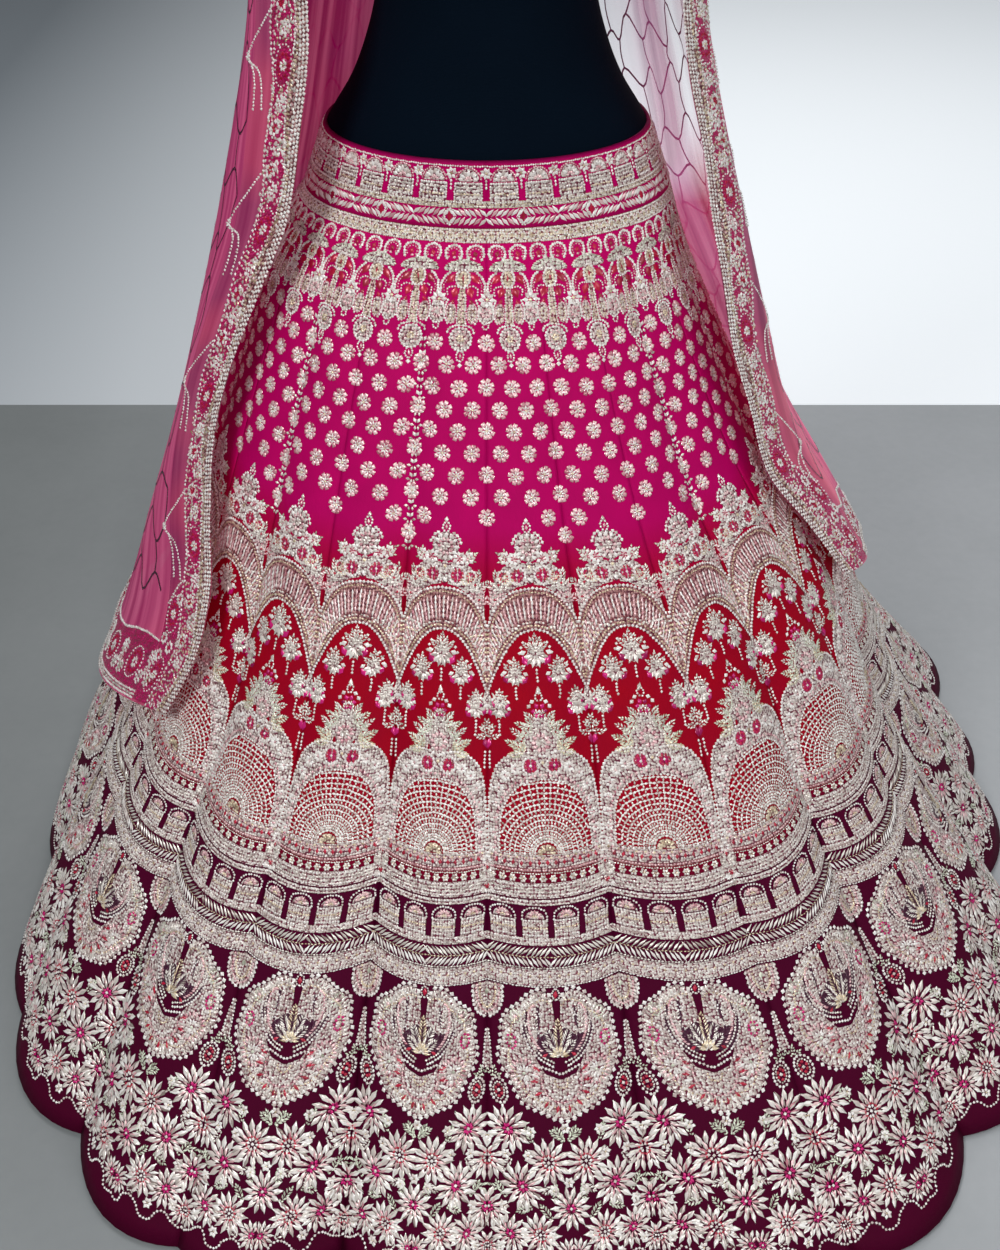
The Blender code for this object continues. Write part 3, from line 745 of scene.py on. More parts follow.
def arches(c):
    """The tall arch of each panel, its crown of flowers and what hangs in it."""
    c.put(0, 291, 6, 4.4, UPRIGHT, SILVER)
    c.ring(0, 298, 4.2, 5, 2.6, PEARL)
    c.put(0, 298, 5, 3, UPRIGHT, PINK)
    c.disc(0, 318, 15, 15, SILVER_PATCH, 14)
    c.rays(0, 318, 9, 15.5, 12, 4.0, PEARL)
    c.rays(0, 318, 5, 10, 10, 3.4, PINK)
    c.rays(0, 318, 1, 5, 6, 2.6, SILVER)
    c.curve([(7, 303), (14, 308), (18, 316)], 4.2, 3.8, PEARL)
    for x, s in ((26, 330), (16, 330)):
        c.rays(x, s, 2.4, 7.8, 7, 4.4, PEARL)
        c.rays(x, s, 0.6, 3.4, 5, 2.2, PINK)
    c.strip([(5, 334), (20, 334), (30, 340)], [(4, 356), (20, 360), (36, 372)], SILVER_PATCH, 6)
    c.rosette(29, 350, 8.0)
    c.sprig(25, 331, -0.5, 12, MINT)
    c.rosette(14.5, 347, 10.5)
    c.disc(0, 344, 7, 12, SILVER_PATCH, 8)
    c.put([0, 0, 0], [338, 344, 351], 5.5, 4.5, UPRIGHT, [GOLD, SILVER, PEARL])
    c.sprig(34, 366, -1.35, 23, SILVER)
    c.sprig(40, 380, -1.3, 20, PINK)
    c.sprig(28, 358, -1.7, 14, GOLD)
    for x, s, r, size in ((35.5, 358, 4, 2.4), (41, 374, 3.4, 2.2)):
        c.ring(x, s, r, r, size, SILVER)
        c.put(x, s, r, r, 0, RUBY)
    c.strip([(17, 352), (27, 345), (38, 350), (46, 368)],
            [(17, 360), (30, 368), (40, 380), (48, 396)], SILVER_PATCH, 8)
    edge = [(float(half(s)), s) for s in (404, 428, 452, 476)]
    rim = smooth([(0, 360), (16, 362.5), (31, 371), (43, 386), edge[0]])
    outer = np.vstack([rim, edge[1:]])
    inner = smooth([(0, 403), (12, 406), (22, 414), (32, 427), (40, 441), (47, 455), (52, 466),
                    edge[3]])
    c.strip(outer, inner, PINK_PATCH, 16)
    c.along(rim, 3.9, 3.7, PEARL)
    c.along(rim, 3.2, 2.4, GOLD, aside=4.0)
    for aside, size, tone in ((-1.0, 3.5, PEARL), (-5.0, 2.8, GOLD), (-8.6, 3.0, SILVER)):
        c.along(inner[:-3], size * 1.06, size, tone, aside=aside)
    a, b = resampled(outer, 26), resampled(inner, 26)
    for k in range(27):
        start = a[k] + (b[k] - a[k]) * 0.20
        end = a[k] + (b[k] - a[k]) * 0.72
        long = float(np.hypot(*(end - start)))
        if long > 7:
            c.along([start, end], 4.2, 2.6, PINK if k % 2 else PEARL, long=6.6)
    for s in np.arange(402, 470, 4.6):
        edge_x = float(half(s))
        room = edge_x - float(np.interp(s, inner[:, 1], inner[:, 0])) - 9
        count = max(int(room / 4.4), 0)
        at = edge_x - 1.6 - np.arange(count) * 4.4
        c.put(at, s, 3.9, 3.2, 0.9, (SILVER, GOLD)[int(s) % 2])
    c.bell(0, 427, 34, 4)
    c.bell(24, 449, 28, 4)
    c.bell(42, 479, 20, 2)
    c.put([13, 15.5, 18], [416, 421, 427], 3.6, 3.4, 0, PEARL)
    c.put([30, 34, 38], [436, 443, 451], 3.8, 3.4, 0, PEARL)
    seam = float(half(480))
    c.bell(seam - 12, 486, 26, 5)
    c.strip([(seam - 3, 470), (seam - 6, 482), (seam - 4, 494)],
            [(seam + 1, 470), (seam + 1, 482), (seam + 1, 494)], SILVER_PATCH, 4)
    seam = float(half(512))
    c.sprig(seam - 1, 520, -1.9, 16, SILVER)
    c.sprig(seam - 1, 512, -1.7, 12, SILVER)
    c.put(seam - 1.2, 525, 11, 6, UPRIGHT, MAGENTA)
    c.put(seam - 1.2 + 0.4 * np.arange(5) / 5, 534 + np.arange(5) * 4, 3.4, 2.8, UPRIGHT, PEARL)


def spires(c):
    """The tapering flower group over each lattice fan."""
    c.put(0, 466, 9, 4.6, UPRIGHT, SILVER)
    c.ring(0, 472, 3.6, 4.4, 2.4, PEARL)
    c.put([7.5, 11.5], [477, 482], 5.4, 4.6, [0.4, 1.0], PEARL)
    c.rays(0, 487, 3, 9, 6, 4.8, MAGENTA)
    c.put(0, 487, 3.8, 3.8, 0, PEARL)
    c.strip([(-5, 494), (-14, 508), (-22, 522), (-32, 540)],
            [(5, 494), (14, 508), (22, 522), (32, 540)], SILVER_PATCH, 8)
    for x, s, turn, long, tone in (
        (4, 500, -0.75, 17, SILVER), (9, 506, -0.35, 19, MINT), (4, 512, -1.2, 10, SILVER),
        (15, 516, -0.5, 20, SILVER), (18, 527, -0.35, 22, MINT), (22, 534, -0.9, 18, GOLD),
    ):
        c.sprig(x, s, turn, long, tone)
    c.rays(0, 520, 5, 11, 10, 4.2, PINK)
    c.rays(0, 520, 1, 5.5, 7, 2.6, SILVER)
    c.rosette(13, 544, 10.5)
    c.put([0, 0], [535, 541], 5, 4, UPRIGHT, [PEARL, GOLD])


def fans(c):
    """The lattice fan of each panel."""
    outer = smooth([(0, 534), (18, 530), (34, 534), (46, 543), (54, 556), (59.5, 578), (63.5, 612),
                    (66, 647)])
    inner = smooth([(0, 558), (14, 560), (27, 566), (38, 577), (46, 592), (50, 609), (52, 628),
                    (53, 647)])
    c.strip(outer, inner, SILVER_PATCH, 22)
    c.along(outer, 4.0, 3.7, PEARL)
    c.along(inner, 3.6, 3.0, PEARL)
    c.along(inner, 4.6, 3.0, PINK, lean=0.8, long=4.4, aside=-4.4)
    for x, s, r in ((30, 548, 7), (41, 556, 6.5), (49, 570, 6.5), (53, 586, 5.5), (56, 602, 5.5),
                    (58, 618, 5.5), (59, 634, 5.5)):
        c.rays(x, s, 1.2, r, 8, r * 0.56, PEARL)
        c.put(x, s, 2.8, 2.8, 0, PINK)
    centre = 636.0
    limit = inner - (2, 0)
    for r in np.arange(13.0, 84.0, 5.6):
        turns = np.linspace(-UPRIGHT, 0.10, 60)
        x, s = r * np.cos(turns), centre + r * np.sin(turns)
        edge = np.interp(s, limit[4:, 1], limit[4:, 0])
        keep = (x < edge) & (s > 561) & (s < 646)
        if keep.sum() > 4:
            c.along(np.stack([x[keep], s[keep]], 1), 4.0, 2.8, PEARL, long=4.2)
    for turn in np.radians(np.arange(0, 91, 6.4)):
        r = np.arange(15.8, 84.0, 5.6)
        x, s = r * math.sin(turn), centre - r * math.cos(turn)
        edge = np.interp(s, limit[4:, 1], limit[4:, 0])
        keep = (x < edge) & (s > 561)
        c.put(x[keep], s[keep], 4.4, 2.0, turn - UPRIGHT, SILVER)
    c.disc(0, centre, 11, 10, GOLD_PATCH, 10, PI, PI)
    c.rays(0, centre, 4, 10, 7, 3, GOLD, -PI, PI)
    c.strip([(0, 637), (66, 637)], [(0, 651), (66, 651)], SILVER_PATCH, 10)
    for x in np.arange(0, 62, 9.4):
        c.put(x, 645.5, 6.5, 4.4, UPRIGHT, RUBY)
        c.ring(x, 645, 4.6, 5.0, 1.9, PINK, pitch=2.4, start=PI, sweep=PI)
    for x in np.arange(4.7, 64, 9.4):
        c.put(x, 640.5, 4, 3, 0.8, GOLD)


def bands(c):
    """The straight bands round the skirt, under the fans."""
    c.belt(651, 655, PINK_PATCH)
    c.row(653, 3.0, 2.8, 2.6, PINK)
    c.row(656.6, 2.6, 2.4, 1.8, SILVER)
    count = 12
    for k in range(count // 2):
        x = (k + 0.5) * 2 * float(half(662)) / count
        c.rays(x, 662, 0.8, 4.6, 6, 3.0, SILVER)
        c.put(x, 662, 2.4, 2.4, 0, GOLD)
    c.belt(666.6, 682.4, SILVER_PATCH)
    for s, size, tone in ((668.6, 2.8, PEARL), (672.4, 3.0, SILVER), (676.2, 3.0, SILVER),
                          (679.8, 2.6, PEARL)):
        c.row(s, size * 1.08, size, size * 0.86, tone)
    c.belt(684, 690, SILVER_PATCH)
    c.row(685.4, 3.1, 2.9, 2.7, PEARL)
    c.row(689.2, 2.9, 2.8, 2.2, SILVER)
    width = 2 * float(half(707)) / 4
    for x in (width / 2, width * 1.5):
        for side in (-1, 1):
            arch = ((14, 706), (13, 698), (7, 693.4), (0, 692.2))
            c.curve([(x + side * dx, s) for dx, s in arch], 2.8, 2.5, PEARL)
        c.disc(x, 704, 10.5, 8.5, SILVER_PATCH, 10, PI, PI)
        c.rays(x, 703, 3, 8.6, 7, 2.8, PINK, -PI * 0.95, PI * 0.9)
        c.rays(x, 703, 0.5, 3.6, 4, 2.2, GOLD, -PI * 0.85, PI * 0.7)
        c.strip([(x - 14, 705), (x + 14, 705)], [(x - 14, 724), (x + 14, 724)], SILVER_PATCH, 4)
        for s, tone in ((706.2, PEARL), (710, SILVER), (713.6, GOLD), (717.2, SILVER), (721, PEARL)):
            c.put(x + np.linspace(-12.6, 12.6, 9), s, 3.0, 2.6, 0, tone)
    c.belt(724, 732, SILVER_PATCH)
    c.row(725.6, 3.1, 2.9, 2.5, PEARL)
    c.row(729.6, 3.1, 2.9, 2.5, SILVER)
    count = int(round(2 * half(744) / 4.4))
    for s, turn, tone in ((738.6, 0.85, SILVER), (749.6, -0.85, PEARL)):
        c.row(s, 2 * half(s) / count, 11.5, 2.7, tone, turn)
    c.row(744.2, 3.4, 2.6, 1.5, GOLD)
    c.row(755.6, 3.0, 2.8, 2.2, SILVER)
    c.belt(757, 774, SILVER_PATCH)
    count = 14
    for k in range(count // 2):
        x = (k + 0.5) * 2 * float(half(764)) / count
        c.ring(x, 764.2, 4.4, 4.2, 2.2, PEARL, pitch=2.5)
        c.put(x, 764.2, 3.2, 3.2, 0, GOLD)
    c.row(771.4, 2.9, 2.7, 2.3, SILVER)
    c.row(775, 3.0, 2.9, 1.8, PEARL)
    seam = float(half(662))
    c.strip([(seam - 7, 641), (seam - 10, 658), (seam - 7, 678)],
            [(seam + 1, 641), (seam + 2, 658), (seam + 2, 678)], SILVER_PATCH, 6)
    c.rays(seam - 0.5, 648, 2, 6.5, 8, 3.2, PEARL)
    c.rays(seam, 664, 2, 9, 9, 3.6, SILVER)
    c.put(seam - 0.5, 656, 6, 4, UPRIGHT, RUBY)
    c.put(seam - 0.5, 676, 7, 4, UPRIGHT, RUBY)
    c.rays(seam - 0.5, 676, 3, 8, 7, 3, PEARL, 0.4, PI - 0.8)


def medallions(c):
    """The scalloped medallion under the bands, and the tongues and spires at the seams."""
    turns = np.radians(np.linspace(-76, 90, 34))
    lobes = 1 + 0.030 * np.cos(9 * (turns - UPRIGHT))
    rx, rs, centre = 65.0, 66.0, 844.0
    edge = np.stack([rx * lobes * np.cos(turns), centre + rs * lobes * np.sin(turns)], 1)
    edge = np.vstack([[(5, 788), (12, 780)], edge])
    core = (edge - (0, centre)) * 0.40 + (0, centre)
    c.strip(edge, core, SILVER_PATCH, 26)
    for share, pitch, size, tone, lean, long in (
        (1.03, 6.6, 4.9, PEARL, None, None),
        (0.93, 4.0, 2.7, SILVER, UPRIGHT, 7.0),
        (0.85, 3.3, 2.6, GOLD, None, None),
    ):
        c.along((edge - (0, centre)) * share + (0, centre), pitch, size, tone, lean, long=long)
    c.put(0, 783, 8, 5, UPRIGHT, RUBY)
    c.ring(0, 783, 4.2, 5.6, 2.2, PEARL)
    c.patch([[(8, 800), (20, 795), (34, 800)], [(0, 822), (22, 822), (40, 826)],
             [(0, 846), (16, 850), (28, 846)]], DARK_PATCH)
    scroll = smooth([(7, 858), (22, 850), (35, 834), (40, 814), (37, 796), (27, 787),
                     (17, 793), (17, 804), (24, 807)], 56)
    c.along(scroll, 3.0, 3.0, PEARL)
    c.along(scroll[:44], 3.0, 2.8, SILVER, aside=-4.2)
    c.along(scroll[8:40], 3.4, 2.6, PINK, aside=-8.0, lean=0.7, long=4.6)
    c.disc(25, 812, 7.5, 13, SILVER_PATCH, 12)
    c.ring(25, 812, 7.5, 13, 2.5, PEARL)
    c.leaf(25, 824, -UPRIGHT, 22, 9, SILVER)
    for turn, long in ((-1.57, 40), (-1.15, 34), (-0.72, 24)):
        c.leaf(0, 848, turn, long, 11, SILVER if turn > -1.5 else GOLD)
    c.rays(0, 847, 2, 11, 9, 3.2, GOLD, -PI, PI)
    c.put(16, 846, 8, 4, 0.6, RUBY)
    c.curve([(0, 866), (10, 862), (22, 858), (30, 866)], 3.4, 3.2, PEARL)
    disc = 873.0
    c.disc(0, disc, 35, 35, SILVER_PATCH, 18, -0.35, PI + 0.7)
    for r, size, tone in ((7, 2.8, GOLD), (12, 2.6, SILVER), (17, 3.6, PEARL), (22, 2.8, PINK)):
        c.ring(0, disc, r, r, size, tone, None, -0.3, PI + 0.6)
    for k in range(19):
        turn = -0.42 + (PI + 0.84) * k / 18
        c.put(29 * math.cos(turn), disc + 29 * math.sin(turn), 10, 4.0, turn, (RUBY, PEARL)[k % 2])
    c.ring(0, disc, 38.5, 38.5, 4.4, PEARL, 6.0, -0.35, PI + 0.7)
    c.ring(0, disc, 34.6, 34.6, 2.4, SILVER, 2.8, -0.35, PI + 0.7)
    c.ring(52, 835, 8.6, 11.4, 3.2, PEARL)
    c.ring(52, 835, 5.0, 7.2, 3.6, MAGENTA)
    c.put(52, 835, 4.6, 4.0, 0, PEARL, 2.6)
    c.rays(40, 866, 9.5, 17, 18, 2.7, PINK)
    c.rays(40, 866, 3.5, 9.5, 12, 2.6, PEARL)
    c.put(40, 866, 4.4, 4.4, 0, MINT, 2.6)
    c.ring(46, 808, 5.5, 6.5, 2.6, MINT)
    c.put(46, 808, 5, 4, 0, PINK)
    seam = float(half(790))
    u = smooth([(seam - 18, 777), (seam - 17, 792), (seam - 11, 806), (seam, 815)])
    c.strip(u, [(seam, 777), (seam, 785), (seam, 795), (seam, 814)], SILVER_PATCH, 8)
    c.along(u, 4.2, 3.8, PEARL)
    c.along(u, 3.3, 2.8, PINK, aside=-4.4)
    c.along(u, 3.3, 2.8, GOLD, aside=-8.4)
    c.put(seam, 788, 8, 6, UPRIGHT, MINT)
    spire = [(float(half(s)) - 1.4 - (s - 827) * 0.10, s) for s in (827, 840, 855, 868)]
    c.along(spire, 3.2, 2.8, PEARL)
    c.strip(spire, [(float(half(s)) + 0.4, s) for s in (827, 840, 855, 868)], SILVER_PATCH, 4)
    seam = float(half(888))
    c.sprig(seam - 8, 877, -1.7, 12, MINT)
    c.ring(seam - 13, 889, 9.4, 12.6, 3.4, PEARL)
    c.ring(seam - 13, 889, 6.0, 8.6, 2.4, SILVER)
    c.ring(seam - 13, 889, 3.6, 5.4, 3.8, RUBY)
    c.put(seam - 13, 889, 4.4, 4.0, 0, PEARL, 2.6)


def flower_field(c):
    """The flowers of the hem."""
    for x, s, r, ruby in (
        (62, 927, 25, False), (20, 956, 25, True), (88, 962, 23, True), (50, 983, 25, False),
        (0, 1002, 22, False), (88, 1012, 22, False), (34, 1029, 22, True), (66, 1033, 21, False),
        (5, 1046, 15, False), (91, 1052, 16, True),
    ):
        c.dahlia(x, s, r, ruby)
    for x, s, turn, tone in (
        (1, 934, -0.6, MINT), (2, 936, -1.05, MINT), (36, 938, -1.2, MINT), (40, 1002, 0.4, MINT),
        (67, 998, -0.9, MINT), (20, 1014, -0.9, MINT), (74, 988, 0.3, MINT), (60, 955, 1.0, SILVER),
        (50, 1010, -1.8, SILVER), (12, 978, 0.5, SILVER), (14, 976, 1.5, MINT),
        (20, 1050, -0.6, SILVER),
    ):
        c.leaf(x, s, turn, 19, 9, tone)
    for x, s in ((37, 926), (42, 951), (72, 1006), (17, 984), (50, 1052), (84, 939), (22, 1030),
                 (0, 976), (66, 953), (78, 1048), (0, 921)):
        c.rays(x, s, 0.8, 6.0, 6, 4.0, PEARL)
        c.put(x, s, 2.4, 2.4, 0, GOLD)
    edge = smooth([(0, 1064), (12, 1066), (17, 1056), (26, 1052), (36, 1057), (44, 1066), (56, 1067),
                   (62, 1058), (70, 1056), (80, 1064), (90, 1070), (95, 1069)], 90)
    c.along(edge, 3.4, 3.0, PEARL)


def kali_chart():
    """What every panel carries, under the top border."""
    chart = Chart()
    for draw in (arches, spires, fans, bands, medallions, flower_field):
        draw(chart)
    return chart.mirrored().clipped()


def mesh_from(name, points, faces, tones=None, glints_and_tones=None, uvs=None, smooth_faces=False):
    """A mesh from arrays; faces all have the same number of corners."""
    mesh = bpy.data.meshes.new(name)
    corners = faces.shape[1]
    mesh.vertices.add(len(points))
    mesh.vertices.foreach_set("co", np.ravel(points).astype(np.float32))
    mesh.loops.add(faces.size)
    mesh.loops.foreach_set("vertex_index", np.ravel(faces).astype(np.int32))
    mesh.polygons.add(len(faces))
    mesh.polygons.foreach_set("loop_start", np.arange(0, faces.size, corners, dtype=np.int32))
    if tones is not None:
        mesh.polygons.foreach_set("material_index", np.asarray(tones, np.int32))
    mesh.update(calc_edges=True)
    mesh.validate()
    # The stones' random shares, for their painted glints and dark reflections
    if glints_and_tones is not None:
        mesh.attributes.new("glint_and_tone", "FLOAT", "POINT").data.foreach_set(
            "value", np.ravel(glints_and_tones).astype(np.float32)
        )
    if uvs is not None:
        layer = mesh.uv_layers.new(name="chart")
        layer.data.foreach_set("uv", np.ravel(uvs[np.ravel(faces)]).astype(np.float32))
    if smooth_faces:
        mesh.shade_smooth()
    return mesh


def new_object(name, mesh, finishes):
    made = bpy.data.objects.new(name, mesh)
    bpy.context.scene.collection.objects.link(made)
    for finish in finishes:
        mesh.materials.append(finish)
    return made


def frames(place, x, s):
    """Points of the cloth, with its directions across, down and outwards."""
    step = 0.5
    at = place(x, s)
    across = unit(place(x + step, s) - place(x - step, s))
    down = place(x, s + step) - place(x, s - step)
    out = unit(np.cross(down, across))
    return at, across, np.cross(across, out), out


def grid_quads(index):
    """The corners of each cell of a grid of point numbers."""
    corners = (index[:-1, :-1], index[1:, :-1], index[1:, 1:], index[:-1, 1:])
    return np.stack(corners, -1).reshape(-1, 4)


def embroidery(name, chart, place):
    """One object with all the stones and patches of a chart."""
    table = chart.table()
    x, s, long, wide, high, turn, tone = table.T
    count = len(table)
    x = x + random.normal(0, STONE_DRIFT, count)
    s = s + random.normal(0, STONE_DRIFT, count)
    turn = turn + random.normal(0, STONE_TWIST, count)
    at, across, down, out = frames(place, x, s)
    along = across * np.cos(turn)[:, None] + down * np.sin(turn)[:, None]
    aside = down * np.cos(turn)[:, None] - across * np.sin(turn)[:, None]
    long, wide, high = long / 2000, wide / 2000, high / 1000
    base = at + out * STONE_BASE
    tilt = random.uniform(-STONE_TILT, STONE_TILT, (2, count))
    top = base + out * high[:, None] + along * (long * tilt[0])[:, None]
    top = top + aside * (wide * tilt[1])[:, None]
    corners = [base + along * long[:, None], base - aside * wide[:, None],
               base - along * long[:, None], base + aside * wide[:, None], top]
    points = [np.stack(corners, 1).reshape(-1, 3)]
    ring = np.array([(0, 1, 4), (1, 2, 4), (2, 3, 4), (3, 0, 4)])
    faces = [(np.arange(count)[:, None, None] * 5 + ring).reshape(-1, 3)]
    tones = [np.repeat(tone, 4)]
    # A random share between dark and light for each stone: painted glints and painted dark reflections,
    # partly its own tone
    glints_and_tones = [np.repeat(random.beta(1.7, 0.9, count), 5)]
    uvs = [np.repeat(np.stack([x, -s], 1) / 1000, 5, axis=0)]
    start = count * 5
    for grid, patch_tone in chart.patches:
        rows, columns = grid.shape[:2]
        px, ps = grid[..., 0].ravel(), grid[..., 1].ravel()
        at, _, _, out = frames(place, px, ps)
        points.append(at + out * PATCH_LIFT)
        index = start + np.arange(rows * columns).reshape(rows, columns)
        quads = grid_quads(index)
        r, c = rows // 2, columns // 2
        first, second = grid[r, c] - grid[r - 1, c], grid[r, c] - grid[r, c - 1]
        if first[0] * second[1] - first[1] * second[0] > 0:
            quads = quads[:, ::-1]  # the front of the patch looks outwards
        triangles = np.concatenate([quads[:, [0, 1, 2]], quads[:, [0, 2, 3]]])
        faces.append(triangles)
        tones.append(np.full(len(triangles), patch_tone))
        glints_and_tones.append(np.full(rows * columns, 0.5))
        uvs.append(np.stack([px, -ps], 1) / 1000)
        start += rows * columns
    mesh = mesh_from(
        name, np.concatenate(points), np.concatenate(faces), np.concatenate(tones),
        np.concatenate(glints_and_tones), np.concatenate(uvs),
    )
    return new_object(name, mesh, FINISHES)


def sheet_mesh(name, grid, uvs=None):
    """A smooth sheet from a grid of points, rows running down and columns to the right."""
    rows, columns = grid.shape[:2]
    return mesh_from(
        name, grid.reshape(-1, 3), grid_quads(np.arange(rows * columns).reshape(rows, columns)),
        uvs=None if uvs is None else uvs.reshape(-1, 2), smooth_faces=True,
    )


def walled(made, thickness):
    """A wall of this thickness, inwards from the sheet."""
    wall = made.modifiers.new("wall", "SOLIDIFY")
    wall.thickness = thickness
    wall.offset = -1
    wall.use_even_offset = False


def settled(made, slot, *nodes):
    """A piece on the root body, in the place of these nodes; the slot is not used."""
    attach(made, "root")
    if nodes:
        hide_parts(*nodes)
    return made


class Nodes:
    """Short names for building a material."""

    def __init__(self, name):
        self.material = bpy.data.materials.new(name)
        self.material.use_nodes = True
        self.tree = self.material.node_tree
        self.shader = self.tree.nodes["Principled BSDF"]

    def new(self, kind, inputs=(), **settings):
        node = self.tree.nodes.new("ShaderNode" + kind)
        for key, value in settings.items():
            setattr(node, key, value)
        for key, value in dict(inputs).items():
            self.feed(node, key, value)
        return node

    def feed(self, node, key, value):
        socket = node.inputs[key]
        if isinstance(value, bpy.types.NodeSocket):
            self.tree.links.new(value, socket)
        else:
            socket.default_value = value

    def set(self, **values):
        for key, value in values.items():
            self.feed(self.shader, key.replace("_", " "), value)

    def chart_uv(self, scale=(1, 1, 1)):
        uv = self.new("UVMap", uv_map="chart").outputs[0]
        return self.new("Mapping", {"Vector": uv, "Scale": scale}).outputs[0]

    def mixed(self, share, first, second):
        node = self.new("Mix", data_type="RGBA")
        self.feed(node, 0, share)
        self.feed(node, 6, first if not isinstance(first, tuple) else (*first, 1))
        self.feed(node, 7, second if not isinstance(second, tuple) else (*second, 1))
        return node.outputs[2]

    def math(self, kind, *values):
        node = self.new("Math", operation=kind)
        for k, value in enumerate(values):
            self.feed(node, k, value)
        return node.outputs[0]

    def noise(self, vector, scale, detail, **more):
        inputs = {"Vector": vector, "Scale": scale, "Detail": detail, **more}
        return self.new("TexNoise", inputs).outputs[0]

    def ramp(self, value, stops):
        node = self.new("ValToRGB", {0: value})
        ramp = node.color_ramp
        while len(ramp.elements) < len(stops):
            ramp.elements.new(0.5)
        for element, (place, colour) in zip(ramp.elements, stops):
            element.position = place
            element.color = (*colour, 1)
        return node.outputs[0]

    def bump(self, height, strength, distance, normal=None):
        inputs = {"Height": height, "Strength": strength, "Distance": distance}
        if normal is not None:
            inputs["Normal"] = normal
        return self.new("Bump", inputs).outputs[0]


def stone_material(name, dark, light, metallic, roughness):
    m = Nodes(name)
    # Each stone's colour lies at random between dark and light: painted glints and painted dark
    # reflections, partly also its own tone
    glint_and_tone = m.new("Attribute", attribute_name="glint_and_tone").outputs["Fac"]
    m.set(Base_Color=m.mixed(glint_and_tone, dark, light), Metallic=metallic, Roughness=roughness)
    m.set(Coat_Weight=0.3, Coat_Roughness=0.08)
    return m.material


def beadwork_material(name, ground_and_shade, dark, light):
    m = Nodes(name)
    beads = m.new("TexVoronoi", {"Vector": m.chart_uv(), "Scale": 310.0, "Randomness": 0.75},
                  voronoi_dimensions="2D")
    near = beads.outputs["Distance"]
    # Each bead takes a random share between the dark and the light bead: partly their own tones, partly
    # painted glints and dark reflections
    glint_chance = m.new("SeparateColor", {"Color": beads.outputs["Color"]})
    colour = m.mixed(glint_chance.outputs[0], dark, light)
    # Between the beads the cloth shows, darkened as a painted shadow between them
    shaded_gap = m.ramp(near, ((0.40, (0, 0, 0)), (0.58, (1, 1, 1))))
    colour = m.mixed(shaded_gap, colour, ground_and_shade)
    tilt = m.mixed(0.30, (0.5, 0.5, 1.0), beads.outputs["Color"])
    normal = m.new("NormalMap", {"Color": tilt, "Strength": 1.0}, uv_map="chart").outputs[0]
    height = m.ramp(near, ((0.0, (1, 1, 1)), (0.62, (0, 0, 0))))
    m.set(Base_Color=colour, Metallic=0.15, Roughness=0.34)
    m.set(Normal=m.bump(height, 0.8, 0.0012, normal))
    return m.material


def silk_material():
    """Silk, dyed magenta above, red in the middle and maroon below, with a dark upper edge."""
    m = Nodes("dyed_silk")
    uv = m.new("UVMap", uv_map="chart").outputs[0]
    down = m.math("MULTIPLY", m.new("SeparateXYZ", {0: uv}).outputs[1], -1000 / LENGTH)
    colour = m.ramp(down, (
        (0.0, (0.17, 0.0, 0.045)), (0.0032, (0.17, 0.0, 0.045)), (0.0040, (0.56, 0.0, 0.125)),
        (0.275, (0.52, 0.0, 0.120)), (0.318, (0.44, 0.0, 0.040)), (0.36, (0.38, 0.0, 0.011)),
        (0.585, (0.34, 0.0, 0.011)), (0.622, (0.068, 0.0, 0.018)), (1.0, (0.058, 0.0, 0.014)),
    ))
    cloudy = m.noise(uv, 14.0, 3.0)
    slub = m.noise(m.chart_uv((900, 60, 1)), 1.0, 2.0)
    darker = m.math("MULTIPLY", m.math("SUBTRACT", 0.75, cloudy), 0.5)
    colour = m.mixed(darker, colour, (0.10, 0.0, 0.03))
    weave = m.new("TexWave", {"Vector": m.chart_uv(), "Scale": 320.0}, wave_type="BANDS",
                  bands_direction="DIAGONAL").outputs[0]
    height = m.math("ADD", m.math("MULTIPLY", weave, 0.4), slub)
    m.set(Base_Color=colour, Roughness=0.62, Specular_IOR_Level=0.06,
          Normal=m.bump(height, 0.35, 0.0004))
    return m.material


